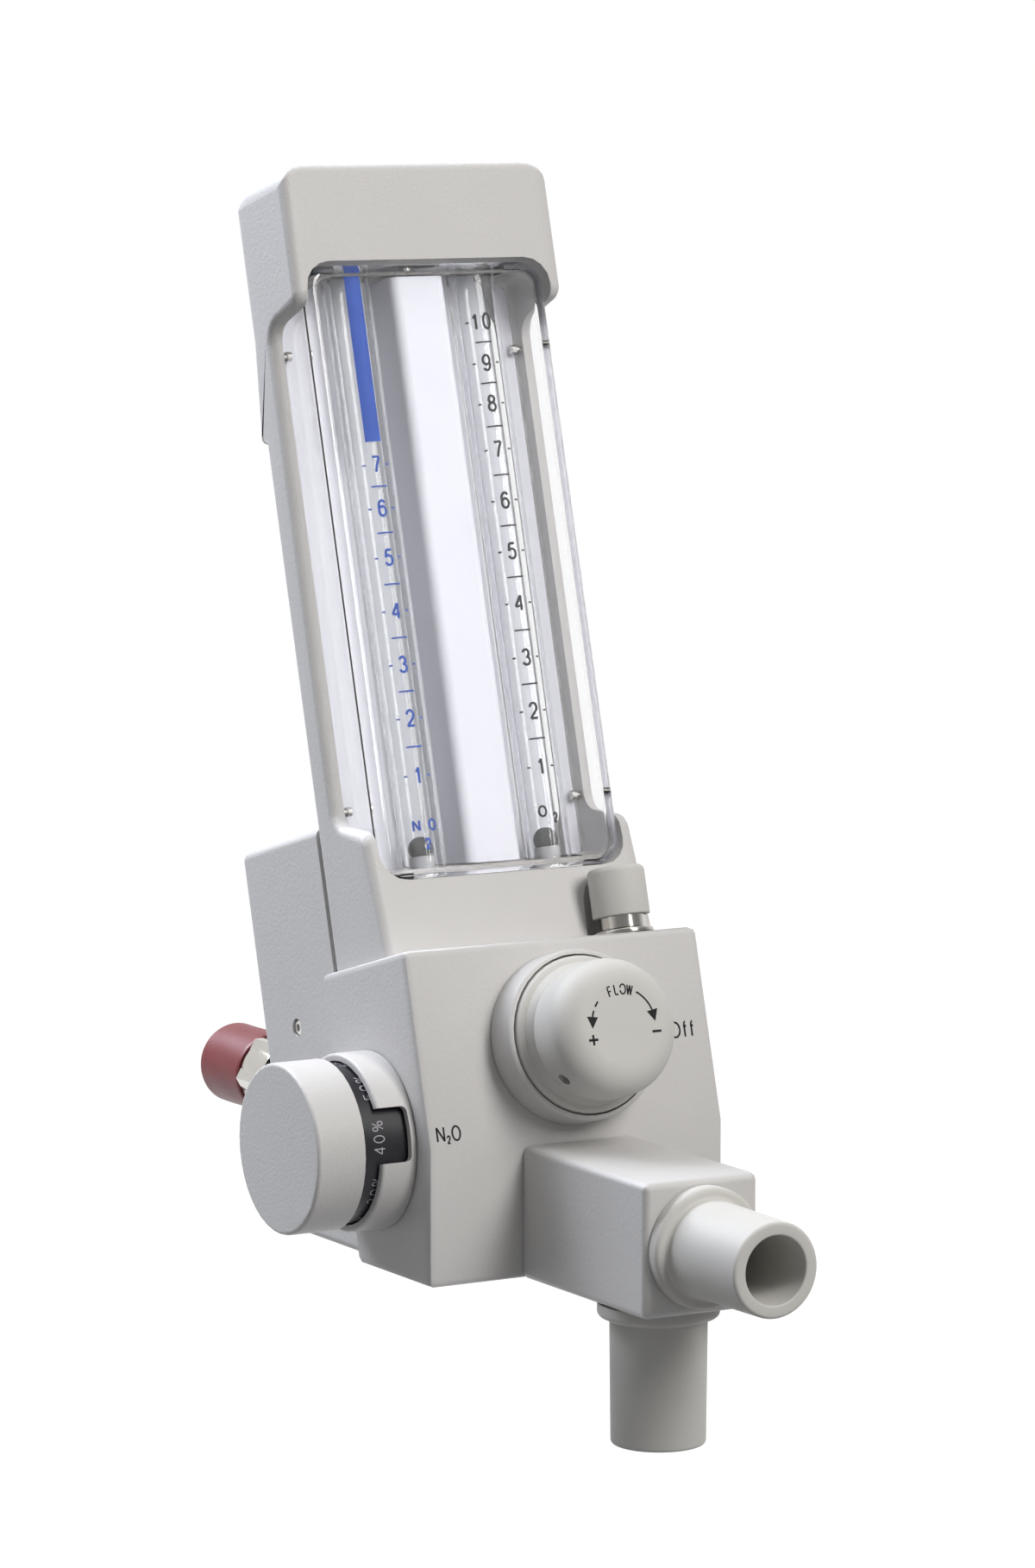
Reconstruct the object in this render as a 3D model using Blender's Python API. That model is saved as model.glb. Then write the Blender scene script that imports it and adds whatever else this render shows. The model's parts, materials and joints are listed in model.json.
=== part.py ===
"""Two-gas medical flowmeter head with a percentage mixer dial.

The head leans back from the vertical.  A cast frame holds two flow tubes behind a
clear cover, and stands on a gas block with a flow knob in front, a percentage knob
on its left, a flush button on top and an outlet tee below.  Lengths are in metres.

Two frames are used.  The lean frame has its origin in the middle of the flat rear
face, Y pointing back out of that face and Z up along the lean.  The square frame
stands upright, with its origin at the foot of the gas block's vertical front face.
"""

import math

import bmesh
import bpy
from mathutils import Euler, Vector

MM = 0.001

# Clearances
GAP = 0.3 * MM
RUN_GAP = 0.3 * MM

# Stance
LEAN = math.radians(15.4)

# Rear cover
COVER_WIDTH = 72.4 * MM
COVER_DEPTH = 39.6 * MM
COVER_RISE = 40.5 * MM
COVER_WALL = 2.5 * MM
COVER_EDGE = 2.0 * MM
COVER_FOOT = 1.0 * MM
COVER_SCREW_Y = -17.5 * MM
COVER_SCREW_Z = -4.0 * MM
COVER_SCREW_R = 1.3 * MM
COVER_SCREW_HEAD_R = 1.9 * MM
COVER_SCREW_HEAD = 1.1 * MM
COVER_SCREW_LENGTH = 6.0 * MM

# Gas block
BLOCK_LEDGE = 3.3 * MM
BLOCK_WIDTH = COVER_WIDTH + 2 * BLOCK_LEDGE
BLOCK_DEPTH = 40.7 * MM
BLOCK_FACE = 46.0 * MM
BLOCK_DROP = 32.4 * MM
BLOCK_EDGE = 1.8 * MM
CREASE_FALL = 40.0 * MM

# Cast frame
FRAME_WIDTH = COVER_WIDTH
FRAME_EDGE = 2.2 * MM
FRAME_BACK_WALL = 4.1 * MM
HEADER_DEPTH = 25.0 * MM
HEADER_SKIRT = 33.4 * MM
HEADER_SKIRT_FALL = 2.8 * MM
HEADER_CORNER = 6.0 * MM
HEADER_CROWN_SHARE = 0.93
HORN_ROUND = 3.5 * MM
HEADER_BACK_ROUND = 6.0 * MM
RAIL_DEPTH = 9.2 * MM
RAIL_ROUND = 5.0 * MM
FOOTER_DEPTH = 27.1 * MM
FOOTER_TOP_DEPTH = 22.5 * MM
FOOTER_HEIGHT = 29.5 * MM
FOOTER_ROUND = 4.5 * MM
PAD_PROUD = 3.0 * MM
PAD_TOP_FALL = 38.0 * MM
PAD_HEIGHT = 24.7 * MM
PAD_ROUND = 1.2 * MM

# Window in the frame
RAIL_WIDTH = 3.2 * MM
WINDOW_WIDTH = FRAME_WIDTH - 2 * RAIL_WIDTH
WINDOW_TOP_FALL = 23.7 * MM
WINDOW_HEIGHT = 147.3 * MM
WINDOW_SILL = 17.7 * MM
WINDOW_CORNER = 6.5 * MM
FRAME_HEIGHT = WINDOW_SILL + WINDOW_HEIGHT + WINDOW_TOP_FALL

# White back panel and channel
PANEL_THICK = 1.5 * MM
CHANNEL_WIDTH = 14.6 * MM
CHANNEL_DEPTH = 12.8 * MM
CHANNEL_WALL = 1.4 * MM
CHANNEL_ROUND = 2.4 * MM
CHANNEL_FOOT = 2.6 * MM
CHANNEL_HEAD = 2.7 * MM
CHANNEL_HEIGHT = WINDOW_HEIGHT - CHANNEL_FOOT - CHANNEL_HEAD
RETURN_PIPE_R = 1.5 * MM
RETURN_PIPE_BORE = 1.0 * MM
RETURN_PIPE_STANDOFF = 6.8 * MM
RETURN_PIPE_SINK = 5.0 * MM

# Clear cover
CLEAR_WALL = 2.0 * MM
CLEAR_DEPTH = 17.1 * MM
CLEAR_FRONT_ROUND = 2.6 * MM
CLEAR_SCREW_R = 0.7 * MM
CLEAR_SCREW_HEAD_R = 1.2 * MM
CLEAR_SCREW_HEAD = 1.2 * MM
CLEAR_SCREW_BITE = 2.0 * MM
CLEAR_SCREW_STANDOFF = 1.6 * MM
CLEAR_SCREW_INSET = 19.0 * MM

# Flow tubes
TUBE_PITCH = 34.0 * MM
TUBE_STANDOFF = 7.8 * MM
TUBE_R = 5.75 * MM
TUBE_BORE_FOOT = 3.3 * MM
TUBE_BORE_HEAD = 3.6 * MM
TUBE_SINK = 8.0 * MM
TUBE_RISE = 11.0 * MM
PLUG_R = 5.6 * MM
PLUG_THICK = 1.7 * MM
SEAL_THICK = 1.7 * MM
SEAL_BORE = 3.2 * MM
SEAT_RISE = 6.1 * MM
SEAT_CUP = 1.9 * MM
STOP_FALL = 0.7 * MM
BALL_R = 3.0 * MM

# Frame screws
FRAME_SCREW_INSET = 8.2 * MM
FRAME_SCREW_X = FRAME_WIDTH / 2 - FRAME_SCREW_INSET
FRAME_SCREW_STANDOFF = 10.0 * MM
FRAME_SCREW_R = 1.9 * MM
FRAME_SCREW_HEAD_R = 3.0 * MM
FRAME_SCREW_HEAD = 3.0 * MM
FRAME_SCREW_SINK = 4.5 * MM
FRAME_SCREW_BITE = 11.0 * MM

# Flow control on the leaning face
FLOW_RISE = 22.3 * MM
FLOW_COLLAR_R = 20.0 * MM
FLOW_COLLAR_BORE = 18.8 * MM
FLOW_COLLAR_LENGTH = 9.0 * MM
FLOW_COLLAR_EDGE = 0.9 * MM
KNOB_FLANGE_R = 18.4 * MM
KNOB_WAIST_R = 15.5 * MM
KNOB_CAP_R = 16.1 * MM
KNOB_WAIST = 12.6 * MM
KNOB_LENGTH = 27.0 * MM
KNOB_DOME = 6.5 * MM
KNOB_FOOT = 4.2 * MM
KNOB_WALL = 2.4 * MM
KNOB_HUB_R = 6.5 * MM
KNOB_SOCKET = 15.5 * MM
SET_SCREW_R = 1.5 * MM
SET_SCREW_AT = 17.6 * MM
SET_SCREW_LENGTH = 7.0 * MM
SET_SCREW_ANGLE = math.radians(221)
STEM_R = 2.9 * MM
STEM_REACH = 24.0 * MM
BONNET_R = 8.0 * MM
BONNET_DEPTH = 16.0 * MM
BONNET_FLANGE_R = 11.0 * MM
BONNET_FLANGE = 3.2 * MM

# Percentage mixer on the left side
DIAL_BACK = 26.5 * MM
DIAL_RISE = 30.7 * MM
DIAL_COLLAR_R = 20.8 * MM
DIAL_COLLAR_BORE = 19.1 * MM
DIAL_COLLAR_LENGTH = 8.9 * MM
DIAL_COLLAR_EDGE = 0.8 * MM
DIAL_NOTCH_WIDTH = 12.8 * MM
DIAL_NOTCH_DEPTH = 7.4 * MM
DIAL_NOTCH_ROUND = 1.2 * MM
DIAL_NOTCH_ANGLE = math.radians(13.5)
DRUM_R = 18.6 * MM
DRUM_SLOT = 4.1 * MM
DRUM_WALL = 3.0 * MM
DIAL_KNOB_R = 19.9 * MM
DIAL_KNOB_LENGTH = 12.1 * MM
DIAL_KNOB_WALL = 2.6 * MM
DIAL_KNOB_EDGE = 0.9 * MM
DIAL_HUB_R = 7.0 * MM
SPINDLE_R = 3.0 * MM
SPINDLE_REACH = 26.0 * MM
BUSH_R = 7.0 * MM
BUSH_LENGTH = 18.0 * MM

# Flush button on top
FLUSH_INSET = 11.5 * MM
FLUSH_X = FRAME_WIDTH / 2 - FLUSH_INSET
FLUSH_SETBACK = 9.0 * MM
FLUSH_TRAVEL = 3.0 * MM
FLUSH_CAP_R = 6.8 * MM
FLUSH_CAP_WALL = 1.0 * MM
FLUSH_CAP_FOOT = 4.5 * MM
FLUSH_CAP_LENGTH = 11.8 * MM
FLUSH_CAP_TOP = 2.6 * MM
FLUSH_CAP_EDGE = 1.1 * MM
FLUSH_POCKET_R = 8.6 * MM
FLUSH_POCKET_HEIGHT = 19.2 * MM
BEZEL_FLANGE_R = 7.2 * MM
BEZEL_FLANGE = 1.0 * MM
BEZEL_R = 5.4 * MM
BEZEL_RISE = 5.8 * MM
BEZEL_SINK = 8.0 * MM
FLUSH_STEM_R = 2.6 * MM
FLUSH_STEM_SINK = 15.0 * MM
SPRING_R = 4.4 * MM
SPRING_WIRE = 0.35 * MM
SPRING_TURNS = 3.0

# Outlet tee
TEE_WIDTH = 29.8 * MM
TEE_LENGTH = 54.0 * MM
TEE_HEIGHT = 31.1 * MM
TEE_EDGE = 1.8 * MM
PORT_RISE = 15.6 * MM
PORT_BACK = 35.5 * MM
PORT_BORE = 7.85 * MM
PORT_ROOT_R = 11.2 * MM
PORT_TIP_R = 10.9 * MM
PORT_FLANGE_R = 14.0 * MM
PORT_FLANGE = 3.6 * MM
PORT_FLANGE_ROUND = 1.4 * MM
PORT_TIP_ROUND = 0.8 * MM
FRONT_PORT_LENGTH = 31.0 * MM
BOTTOM_PORT_LENGTH = 33.0 * MM
SPIGOT_R = 9.6 * MM
SPIGOT_LENGTH = 5.0 * MM
TEE_PASSAGE = 8.0 * MM
OUTLET_PASSAGE_R = 5.3 * MM
OUTLET_PASSAGE_DEPTH = 18.0 * MM

# Gas inlets at the rear
INLET_INSET = 9.2 * MM
INLET_X = COVER_WIDTH / 2 - INLET_INSET
INLET_RISE = 34.0 * MM
INLET_NECK_R = 6.6 * MM
INLET_HOLE_R = 8.3 * MM
INLET_NECK_BACK = 74.0 * MM
INLET_HEX_BACK = 89.1 * MM
INLET_HEX_LENGTH = 10.9 * MM
INLET_THREAD_LENGTH = 17.0 * MM
INLET_BORE = 3.0 * MM
INLET_CHAMFER = 0.7 * MM
N2O_HEX_FLATS = 18.4 * MM
N2O_THREAD_R = 8.7 * MM
O2_HEX_FLATS = 17.5 * MM
O2_THREAD_R = 7.1 * MM
CAP_WALL = 0.8 * MM
CAP_END = 1.6 * MM
CAP_LENGTH = 20.2 * MM
CAP_EDGE = 1.0 * MM
PIPE_R = 4.0 * MM
PIPE_BORE = 2.6 * MM
PIPE_SINK = 5.0 * MM
FAIL_SAFE_BACK = 54.0 * MM
FAIL_SAFE_LENGTH = 12.0 * MM
FAIL_SAFE_GAP = 0.7 * MM
FAIL_SAFE_WIDTH = COVER_WIDTH - 2 * (COVER_WALL + FAIL_SAFE_GAP)
FAIL_SAFE_LOW = 25.0 * MM
FAIL_SAFE_HIGH = 41.0 * MM

# Cover bracket inside the rear cover
BRACKET_THICK = 2.0 * MM
BRACKET_LOW = -12.0 * MM
BRACKET_HIGH = 5.0 * MM
BRACKET_REACH = 25.0 * MM
BRACKET_SCREW_X = 15.0 * MM
BRACKET_SCREW_Z = -4.0 * MM
BRACKET_SCREW_R = 1.9 * MM
BRACKET_SCREW_HEAD_R = 3.2 * MM
BRACKET_SCREW_HEAD = 2.2 * MM
BRACKET_SCREW_BITE = 9.0 * MM

# Facets
ROUND_STEPS = 32
SMALL_STEPS = 16
ARC_STEPS = 4
EDGE_ANGLES = (0, 15, 32, 49, 68, 90)

# Places in the lean frame
BLOCK_BACK_Y = -(COVER_DEPTH + GAP)
BLOCK_FRONT_Y = BLOCK_BACK_Y - BLOCK_DEPTH
CREASE_Z = -CREASE_FALL
BLOCK_TOP_Z = CREASE_Z + BLOCK_FACE
FRAME_BACK_Y = -(COVER_DEPTH + GAP)
FRAME_FLOOR_Z = BLOCK_TOP_Z + GAP
FRAME_TOP_Z = FRAME_FLOOR_Z + FRAME_HEIGHT
RAIL_FRONT_Y = FRAME_BACK_Y - RAIL_DEPTH
WINDOW_TOP_Z = FRAME_TOP_Z - WINDOW_TOP_FALL
WINDOW_FLOOR_Z = WINDOW_TOP_Z - WINDOW_HEIGHT
POCKET_BACK_Y = FRAME_BACK_Y - FRAME_BACK_WALL
PANEL_FRONT_Y = POCKET_BACK_Y - GAP - PANEL_THICK
TUBE_Y = PANEL_FRONT_Y - TUBE_STANDOFF
SEAT_TOP_Z = WINDOW_FLOOR_Z + SEAT_RISE
BALL_Z = SEAT_TOP_Z + SEAT_CUP


def lean_to_world(y, z):
    """World Y and Z of a point given in the lean frame."""
    return (
        y * math.cos(LEAN) + z * math.sin(LEAN),
        z * math.cos(LEAN) - y * math.sin(LEAN),
    )


def world_to_lean(y, z):
    """Lean-frame Y and Z of a point given in world Y and Z."""
    return (
        y * math.cos(LEAN) - z * math.sin(LEAN),
        y * math.sin(LEAN) + z * math.cos(LEAN),
    )


CREASE_WORLD_Y, CREASE_WORLD_Z = lean_to_world(BLOCK_FRONT_Y, CREASE_Z)
BLOCK_FOOT_WORLD_Z = CREASE_WORLD_Z - BLOCK_DROP


def level_z(y, world_z):
    """Lean-frame Z, at a lean-frame Y, of a level plane at a world height."""
    return (world_z + y * math.sin(LEAN)) / math.cos(LEAN)


def clear_scene():
    """Remove every object that is in the scene."""
    for obj in list(bpy.data.objects):
        bpy.data.objects.remove(obj, do_unlink=True)


def make_material(name, colour, roughness, metallic=0.0, alpha=1.0):
    """A Principled material in one colour."""
    material = bpy.data.materials.new(name)
    material.use_nodes = True
    shader = material.node_tree.nodes["Principled BSDF"]
    shader.inputs["Base Color"].default_value = (*colour, 1.0)
    shader.inputs["Roughness"].default_value = roughness
    shader.inputs["Metallic"].default_value = metallic
    shader.inputs["Alpha"].default_value = alpha
    return material


def make_materials():
    """The part's finishes, by name."""
    return {
        "powder_coat": make_material("powder_coat", (0.56, 0.55, 0.53), 0.55),
        "moulded_grey": make_material("moulded_grey", (0.50, 0.49, 0.46), 0.30),
        "white_enamel": make_material("white_enamel", (0.82, 0.83, 0.86), 0.35),
        "clear_acrylic": make_material("clear_acrylic", (0.9, 0.93, 0.95), 0.05, alpha=0.3),
        "black_anodised": make_material("black_anodised", (0.02, 0.02, 0.025), 0.4, 0.5),
        "black_ceramic": make_material("black_ceramic", (0.015, 0.015, 0.015), 0.2),
        "stainless": make_material("stainless", (0.62, 0.61, 0.6), 0.25, 1.0),
        "chrome": make_material("chrome", (0.75, 0.74, 0.72), 0.1, 1.0),
        "brass": make_material("brass", (0.6, 0.47, 0.22), 0.3, 1.0),
        "aluminium": make_material("aluminium", (0.7, 0.7, 0.71), 0.35, 1.0),
        "red_vinyl": make_material("red_vinyl", (0.23, 0.03, 0.035), 0.4),
        "seal_rubber": make_material("seal_rubber", (0.03, 0.03, 0.03), 0.7),
        "white_nylon": make_material("white_nylon", (0.8, 0.8, 0.78), 0.4),
    }


def add_empty(name, location=(0, 0, 0), rotation=(0, 0, 0), parent=None):
    """An empty that carries pieces on its own axes."""
    empty = bpy.data.objects.new(name, None)
    empty.empty_display_size = 0.01
    empty.location = location
    empty.rotation_euler = Euler(rotation)
    empty.parent = parent
    bpy.context.scene.collection.objects.link(empty)
    return empty


def add_piece(name, bm, material, parent=None, smooth=35.0):
    """Make an object of a mesh whose points are in its parent's frame."""
    bmesh.ops.recalc_face_normals(bm, faces=bm.faces)
    mesh = bpy.data.meshes.new(name)
    bm.to_mesh(mesh)
    bm.free()
    mesh.shade_smooth()
    mesh.set_sharp_from_angle(angle=math.radians(smooth))
    obj = bpy.data.objects.new(name, mesh)
    obj.parent = parent
    if material is not None:
        mesh.materials.append(material)
    bpy.context.scene.collection.objects.link(obj)
    return obj


def cut(target, name, bm, parent=None):
    """Cut a closed mesh out of a piece and keep the cutter as a hidden guide."""
    cutter = add_piece(name, bm, None, parent)
    cutter.hide_render = True
    cutter.display_type = "WIRE"
    modifier = target.modifiers.new(name, "BOOLEAN")
    modifier.operation = "DIFFERENCE"
    modifier.solver = "EXACT"
    modifier.object = cutter
    return cutter


def rounded_outline(corners, steps=ARC_STEPS):
    """Outline through corners (a, b, radius), each corner rounded by a tangent arc."""
    points = []
    count = len(corners)
    for index, (a, b, radius) in enumerate(corners):
        here = Vector((a, b))
        if radius <= 0:
            points.append((a, b))
            continue
        to_last = (Vector(corners[index - 1][:2]) - here).normalized()
        to_next = (Vector(corners[(index + 1) % count][:2]) - here).normalized()
        half = to_last.angle(to_next) / 2
        centre = here + (to_last + to_next).normalized() * (radius / math.sin(half))
        start = here + to_last * (radius / math.tan(half)) - centre
        end = here + to_next * (radius / math.tan(half)) - centre
        turn = start.angle(end)
        for step in range(steps + 1):
            share = step / steps
            arm = (
                start * math.sin((1 - share) * turn) + end * math.sin(share * turn)
            ) / math.sin(turn)
            points.append(tuple(centre + arm))
    return points


def rounded_rectangle(a_low, a_high, b_low, b_high, radius, steps=ARC_STEPS):
    """Outline of a rectangle with one corner radius."""
    return rounded_outline(
        [
            (a_low, b_low, radius),
            (a_high, b_low, radius),
            (a_high, b_high, radius),
            (a_low, b_high, radius),
        ],
        steps,
    )


def prism(outline, low, high, axis):
    """Extrude a flat outline along X, Y or Z between two values."""
    place = {
        "X": lambda a, b, c: (c, a, b),
        "Y": lambda a, b, c: (a, c, b),
        "Z": lambda a, b, c: (a, b, c),
    }[axis]
    bm = bmesh.new()
    face = bm.faces.new([bm.verts.new(place(a, b, low)) for a, b in outline])
    made = bmesh.ops.extrude_face_region(bm, geom=[face])
    moved = [item for item in made["geom"] if isinstance(item, bmesh.types.BMVert)]
    shift = Vector(place(0, 0, high)) - Vector(place(0, 0, low))
    bmesh.ops.translate(bm, verts=moved, vec=shift)
    return bm


def turned(profile, steps=ROUND_STEPS):
    """Spin a profile of (radius, height) about Z; a profile off the axis is a ring."""
    bm = bmesh.new()
    verts = [bm.verts.new((radius, 0, height)) for radius, height in profile]
    edges = [bm.edges.new(pair) for pair in zip(verts, verts[1:])]
    if profile[0][0] > 0 or profile[-1][0] > 0:
        edges.append(bm.edges.new((verts[-1], verts[0])))
    bmesh.ops.spin(
        bm,
        geom=verts + edges,
        cent=(0, 0, 0),
        axis=(0, 0, 1),
        angle=math.tau,
        steps=steps,
        use_merge=True,
    )
    bmesh.ops.remove_doubles(bm, verts=bm.verts, dist=1e-6)
    return bm


def rod(radius, low, high, steps=SMALL_STEPS):
    """A plain cylinder along Z."""
    return turned([(0, low), (radius, low), (radius, high), (0, high)], steps)


def corner_arc(r_centre, z_centre, radius, start, end, steps=ARC_STEPS):
    """Points of a turned profile along an arc, angles in degrees from +r to +z."""
    points = []
    for step in range(steps + 1):
        angle = math.radians(start + (end - start) * step / steps)
        points.append(
            (r_centre + radius * math.cos(angle), z_centre + radius * math.sin(angle))
        )
    return points


def bevel_edges(bm, width, keep, segments=2):
    """Round the edges whose middle point passes a test."""
    edges = [e for e in bm.edges if keep((e.verts[0].co + e.verts[1].co) / 2, e)]
    bmesh.ops.bevel(
        bm,
        geom=edges,
        offset=width,
        offset_type="OFFSET",
        segments=segments,
        profile=0.5,
        affect="EDGES",
        clamp_overlap=True,
    )
    return bm


def hex_radius(flats, angle):
    """Distance from the centre to a hexagon's side, one corner at angle 0."""
    return flats / 2 / math.cos((angle % (math.pi / 3)) - math.pi / 6)


def ring_loft(sections, steps):
    """Loft closed sections (height, radius function); the last joins the first."""
    bm = bmesh.new()
    rings = []
    for height, radius_at in sections:
        ring = []
        for step in range(steps):
            angle = math.tau * step / steps
            radius = radius_at(angle)
            ring.append(bm.verts.new((radius * math.cos(angle), radius * math.sin(angle), height)))
        rings.append(ring)
    for ring, following in zip(rings, rings[1:] + rings[:1]):
        for step in range(steps):
            after = (step + 1) % steps
            bm.faces.new((ring[step], ring[after], following[after], following[step]))
    return bm


def edge_inset(distance, radius):
    """How far a rounded edge draws a surface in at a distance from the side."""
    if distance >= radius:
        return 0.0
    return radius - math.sqrt(max(radius**2 - (radius - distance) ** 2, 0.0))


def frame_profile():
    """Side outline of the cast frame, Y and Z in the lean frame."""
    header_front = FRAME_BACK_Y - HEADER_DEPTH
    footer_front = FRAME_BACK_Y - FOOTER_DEPTH
    footer_top_front = FRAME_BACK_Y - FOOTER_TOP_DEPTH
    shoulder = FRAME_FLOOR_Z + FOOTER_HEIGHT
    shoulder_rise = (RAIL_FRONT_Y - footer_top_front) * math.tan(LEAN)
    skirt = FRAME_TOP_Z - HEADER_SKIRT
    pad_top = FRAME_TOP_Z - PAD_TOP_FALL
    pad_foot = pad_top - PAD_HEIGHT
    return rounded_outline(
        [
            (footer_front, FRAME_FLOOR_Z, 0),
            (footer_top_front, shoulder, FOOTER_ROUND),
            (RAIL_FRONT_Y, shoulder + shoulder_rise, RAIL_ROUND),
            (RAIL_FRONT_Y, skirt - HEADER_SKIRT_FALL, RAIL_ROUND),
            (header_front, skirt, HORN_ROUND),
            (header_front, FRAME_TOP_Z, FRAME_EDGE),
            (FRAME_BACK_Y, FRAME_TOP_Z, HEADER_BACK_ROUND),
            (FRAME_BACK_Y, pad_top, 0),
            (FRAME_BACK_Y + PAD_PROUD, pad_foot + PAD_ROUND, PAD_ROUND),
            (FRAME_BACK_Y, pad_foot, 0),
            (FRAME_BACK_Y, FRAME_FLOOR_Z, 0),
        ]
    )


def outward_normals(outline):
    """Unit normals of an outline's points, pointing away from its inside."""
    points = [Vector(point) for point in outline]
    area = sum(a.x * b.y - b.x * a.y for a, b in zip(points, points[1:] + points[:1]))
    sign = 1 if area > 0 else -1
    normals = []
    for index, here in enumerate(points):
        before = (here - points[index - 1]).normalized()
        after = (points[(index + 1) % len(points)] - here).normalized()
        along = (before + after).normalized()
        normals.append(Vector((along.y, -along.x)) * sign)
    return normals


def frame_body():
    """The cast frame as its side outline carried across its width.

    Near each side the outline is drawn in by the edge rounding, and its top sinks along
    the larger corner radius of the header.
    """
    outline = frame_profile()
    normals = outward_normals(outline)
    spans = [HEADER_CORNER * (1 - math.cos(math.radians(angle))) for angle in EDGE_ANGLES]
    stations = [(-1, span) for span in spans] + [(1, span) for span in reversed(spans)]
    top_foot = FRAME_TOP_Z - HEADER_BACK_ROUND
    bm = bmesh.new()
    rings = []
    for side, span in stations:
        x = side * (FRAME_WIDTH / 2 - span)
        edge = edge_inset(span, FRAME_EDGE)
        crown = edge_inset(span, HEADER_CORNER) * HEADER_CROWN_SHARE
        ring = []
        for (y, z), normal in zip(outline, normals):
            if z > top_foot:
                sink = crown * (z - top_foot) / HEADER_BACK_ROUND
                place = (x, y - normal.x * edge, z - sink)
            elif z <= FRAME_FLOOR_Z:
                place = (x, y - math.copysign(edge, normal.x), z)
            else:
                place = (x, y - normal.x * edge, z - normal.y * edge)
            ring.append(bm.verts.new(place))
        rings.append(ring)
    count = len(outline)
    for ring, following in zip(rings, rings[1:]):
        for index in range(count):
            after = (index + 1) % count
            bm.faces.new((ring[index], ring[after], following[after], following[index]))
    bm.faces.new(rings[0])
    bm.faces.new(rings[-1])
    return bm


def build_frame(lean, materials):
    """Cast frame with its window, tube bores, button pocket and screw holes."""
    frame = add_piece("housing_frame", frame_body(), materials["powder_coat"], lean)
    window = rounded_rectangle(
        -WINDOW_WIDTH / 2, WINDOW_WIDTH / 2, WINDOW_FLOOR_Z, WINDOW_TOP_Z, WINDOW_CORNER
    )
    front = FRAME_BACK_Y - 2 * HEADER_DEPTH
    cut(frame, "window_cutter", prism(window, front, POCKET_BACK_Y, "Y"), lean)
    return frame


def build_flush_pocket(frame, flush_axis):
    """Rounded recess in the frame's foot that clears the flush button."""
    radius = FLUSH_POCKET_R
    profile = [(0, -GAP - radius), (radius, -GAP - radius)]
    profile += corner_arc(0, FLUSH_POCKET_HEIGHT - radius, radius, 0, 90, 6)
    cut(frame, "flush_pocket_cutter", turned(profile, 24), flush_axis)


def build_back_panel(lean, materials):
    """White panel on the pocket's back wall."""
    outline = rounded_rectangle(
        -WINDOW_WIDTH / 2 + GAP,
        WINDOW_WIDTH / 2 - GAP,
        WINDOW_FLOOR_Z + GAP,
        WINDOW_TOP_Z - GAP,
        WINDOW_CORNER - GAP,
    )
    body = prism(outline, POCKET_BACK_Y - GAP, PANEL_FRONT_Y, "Y")
    add_piece("back_panel", body, materials["white_enamel"], lean)


def build_channel(lean, materials):
    """White channel between the tubes that covers the return pipe."""
    half = CHANNEL_WIDTH / 2
    back = PANEL_FRONT_Y - GAP
    front = back - CHANNEL_DEPTH
    inner = half - CHANNEL_WALL
    outline = rounded_outline(
        [
            (-half, back, 0),
            (-half, front, CHANNEL_ROUND),
            (half, front, CHANNEL_ROUND),
            (half, back, 0),
            (inner, back, 0),
            (inner, front + CHANNEL_WALL, CHANNEL_ROUND - CHANNEL_WALL),
            (-inner, front + CHANNEL_WALL, CHANNEL_ROUND - CHANNEL_WALL),
            (-inner, back, 0),
        ]
    )
    foot = WINDOW_FLOOR_Z + CHANNEL_FOOT
    body = prism(outline, foot, foot + CHANNEL_HEIGHT, "Z")
    add_piece("centre_channel", body, materials["white_enamel"], lean)


def build_return_pipe(frame, lean, materials):
    """Thin steel pipe that carries gas down from the header behind the channel."""
    y = PANEL_FRONT_Y - RETURN_PIPE_STANDOFF
    low = WINDOW_FLOOR_Z - RETURN_PIPE_SINK
    high = WINDOW_TOP_Z + RETURN_PIPE_SINK
    axis = add_empty("return_pipe_axis", (0, y, 0), parent=lean)
    body = turned(
        [
            (RETURN_PIPE_R, low),
            (RETURN_PIPE_R, high),
            (RETURN_PIPE_BORE, high),
            (RETURN_PIPE_BORE, low),
        ],
        SMALL_STEPS,
    )
    add_piece("return_pipe", body, materials["stainless"], axis)
    for name, start, end in (
        ("return_foot_cutter", low - GAP, WINDOW_FLOOR_Z + GAP),
        ("return_head_cutter", WINDOW_TOP_Z - GAP, high + GAP),
    ):
        cut(frame, name, rod(RETURN_PIPE_R + GAP, start, end), axis)


def tray_rings(inset, front, front_round):
    """Outlines of a tray wall, from its open back to the rim of its flat front."""
    half = WINDOW_WIDTH / 2 - GAP - inset
    low = WINDOW_FLOOR_Z + GAP + inset
    high = WINDOW_TOP_Z - GAP - inset
    corner = WINDOW_CORNER - GAP - inset
    rings = [(PANEL_FRONT_Y - GAP, rounded_rectangle(-half, half, low, high, corner))]
    for step in range(ARC_STEPS + 1):
        angle = math.pi / 2 * step / ARC_STEPS
        draw = front_round * (1 - math.cos(angle))
        y = front + front_round * (1 - math.sin(angle))
        outline = rounded_rectangle(
            -half + draw, half - draw, low + draw, high - draw, corner - draw
        )
        rings.append((y, outline))
    return rings


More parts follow.
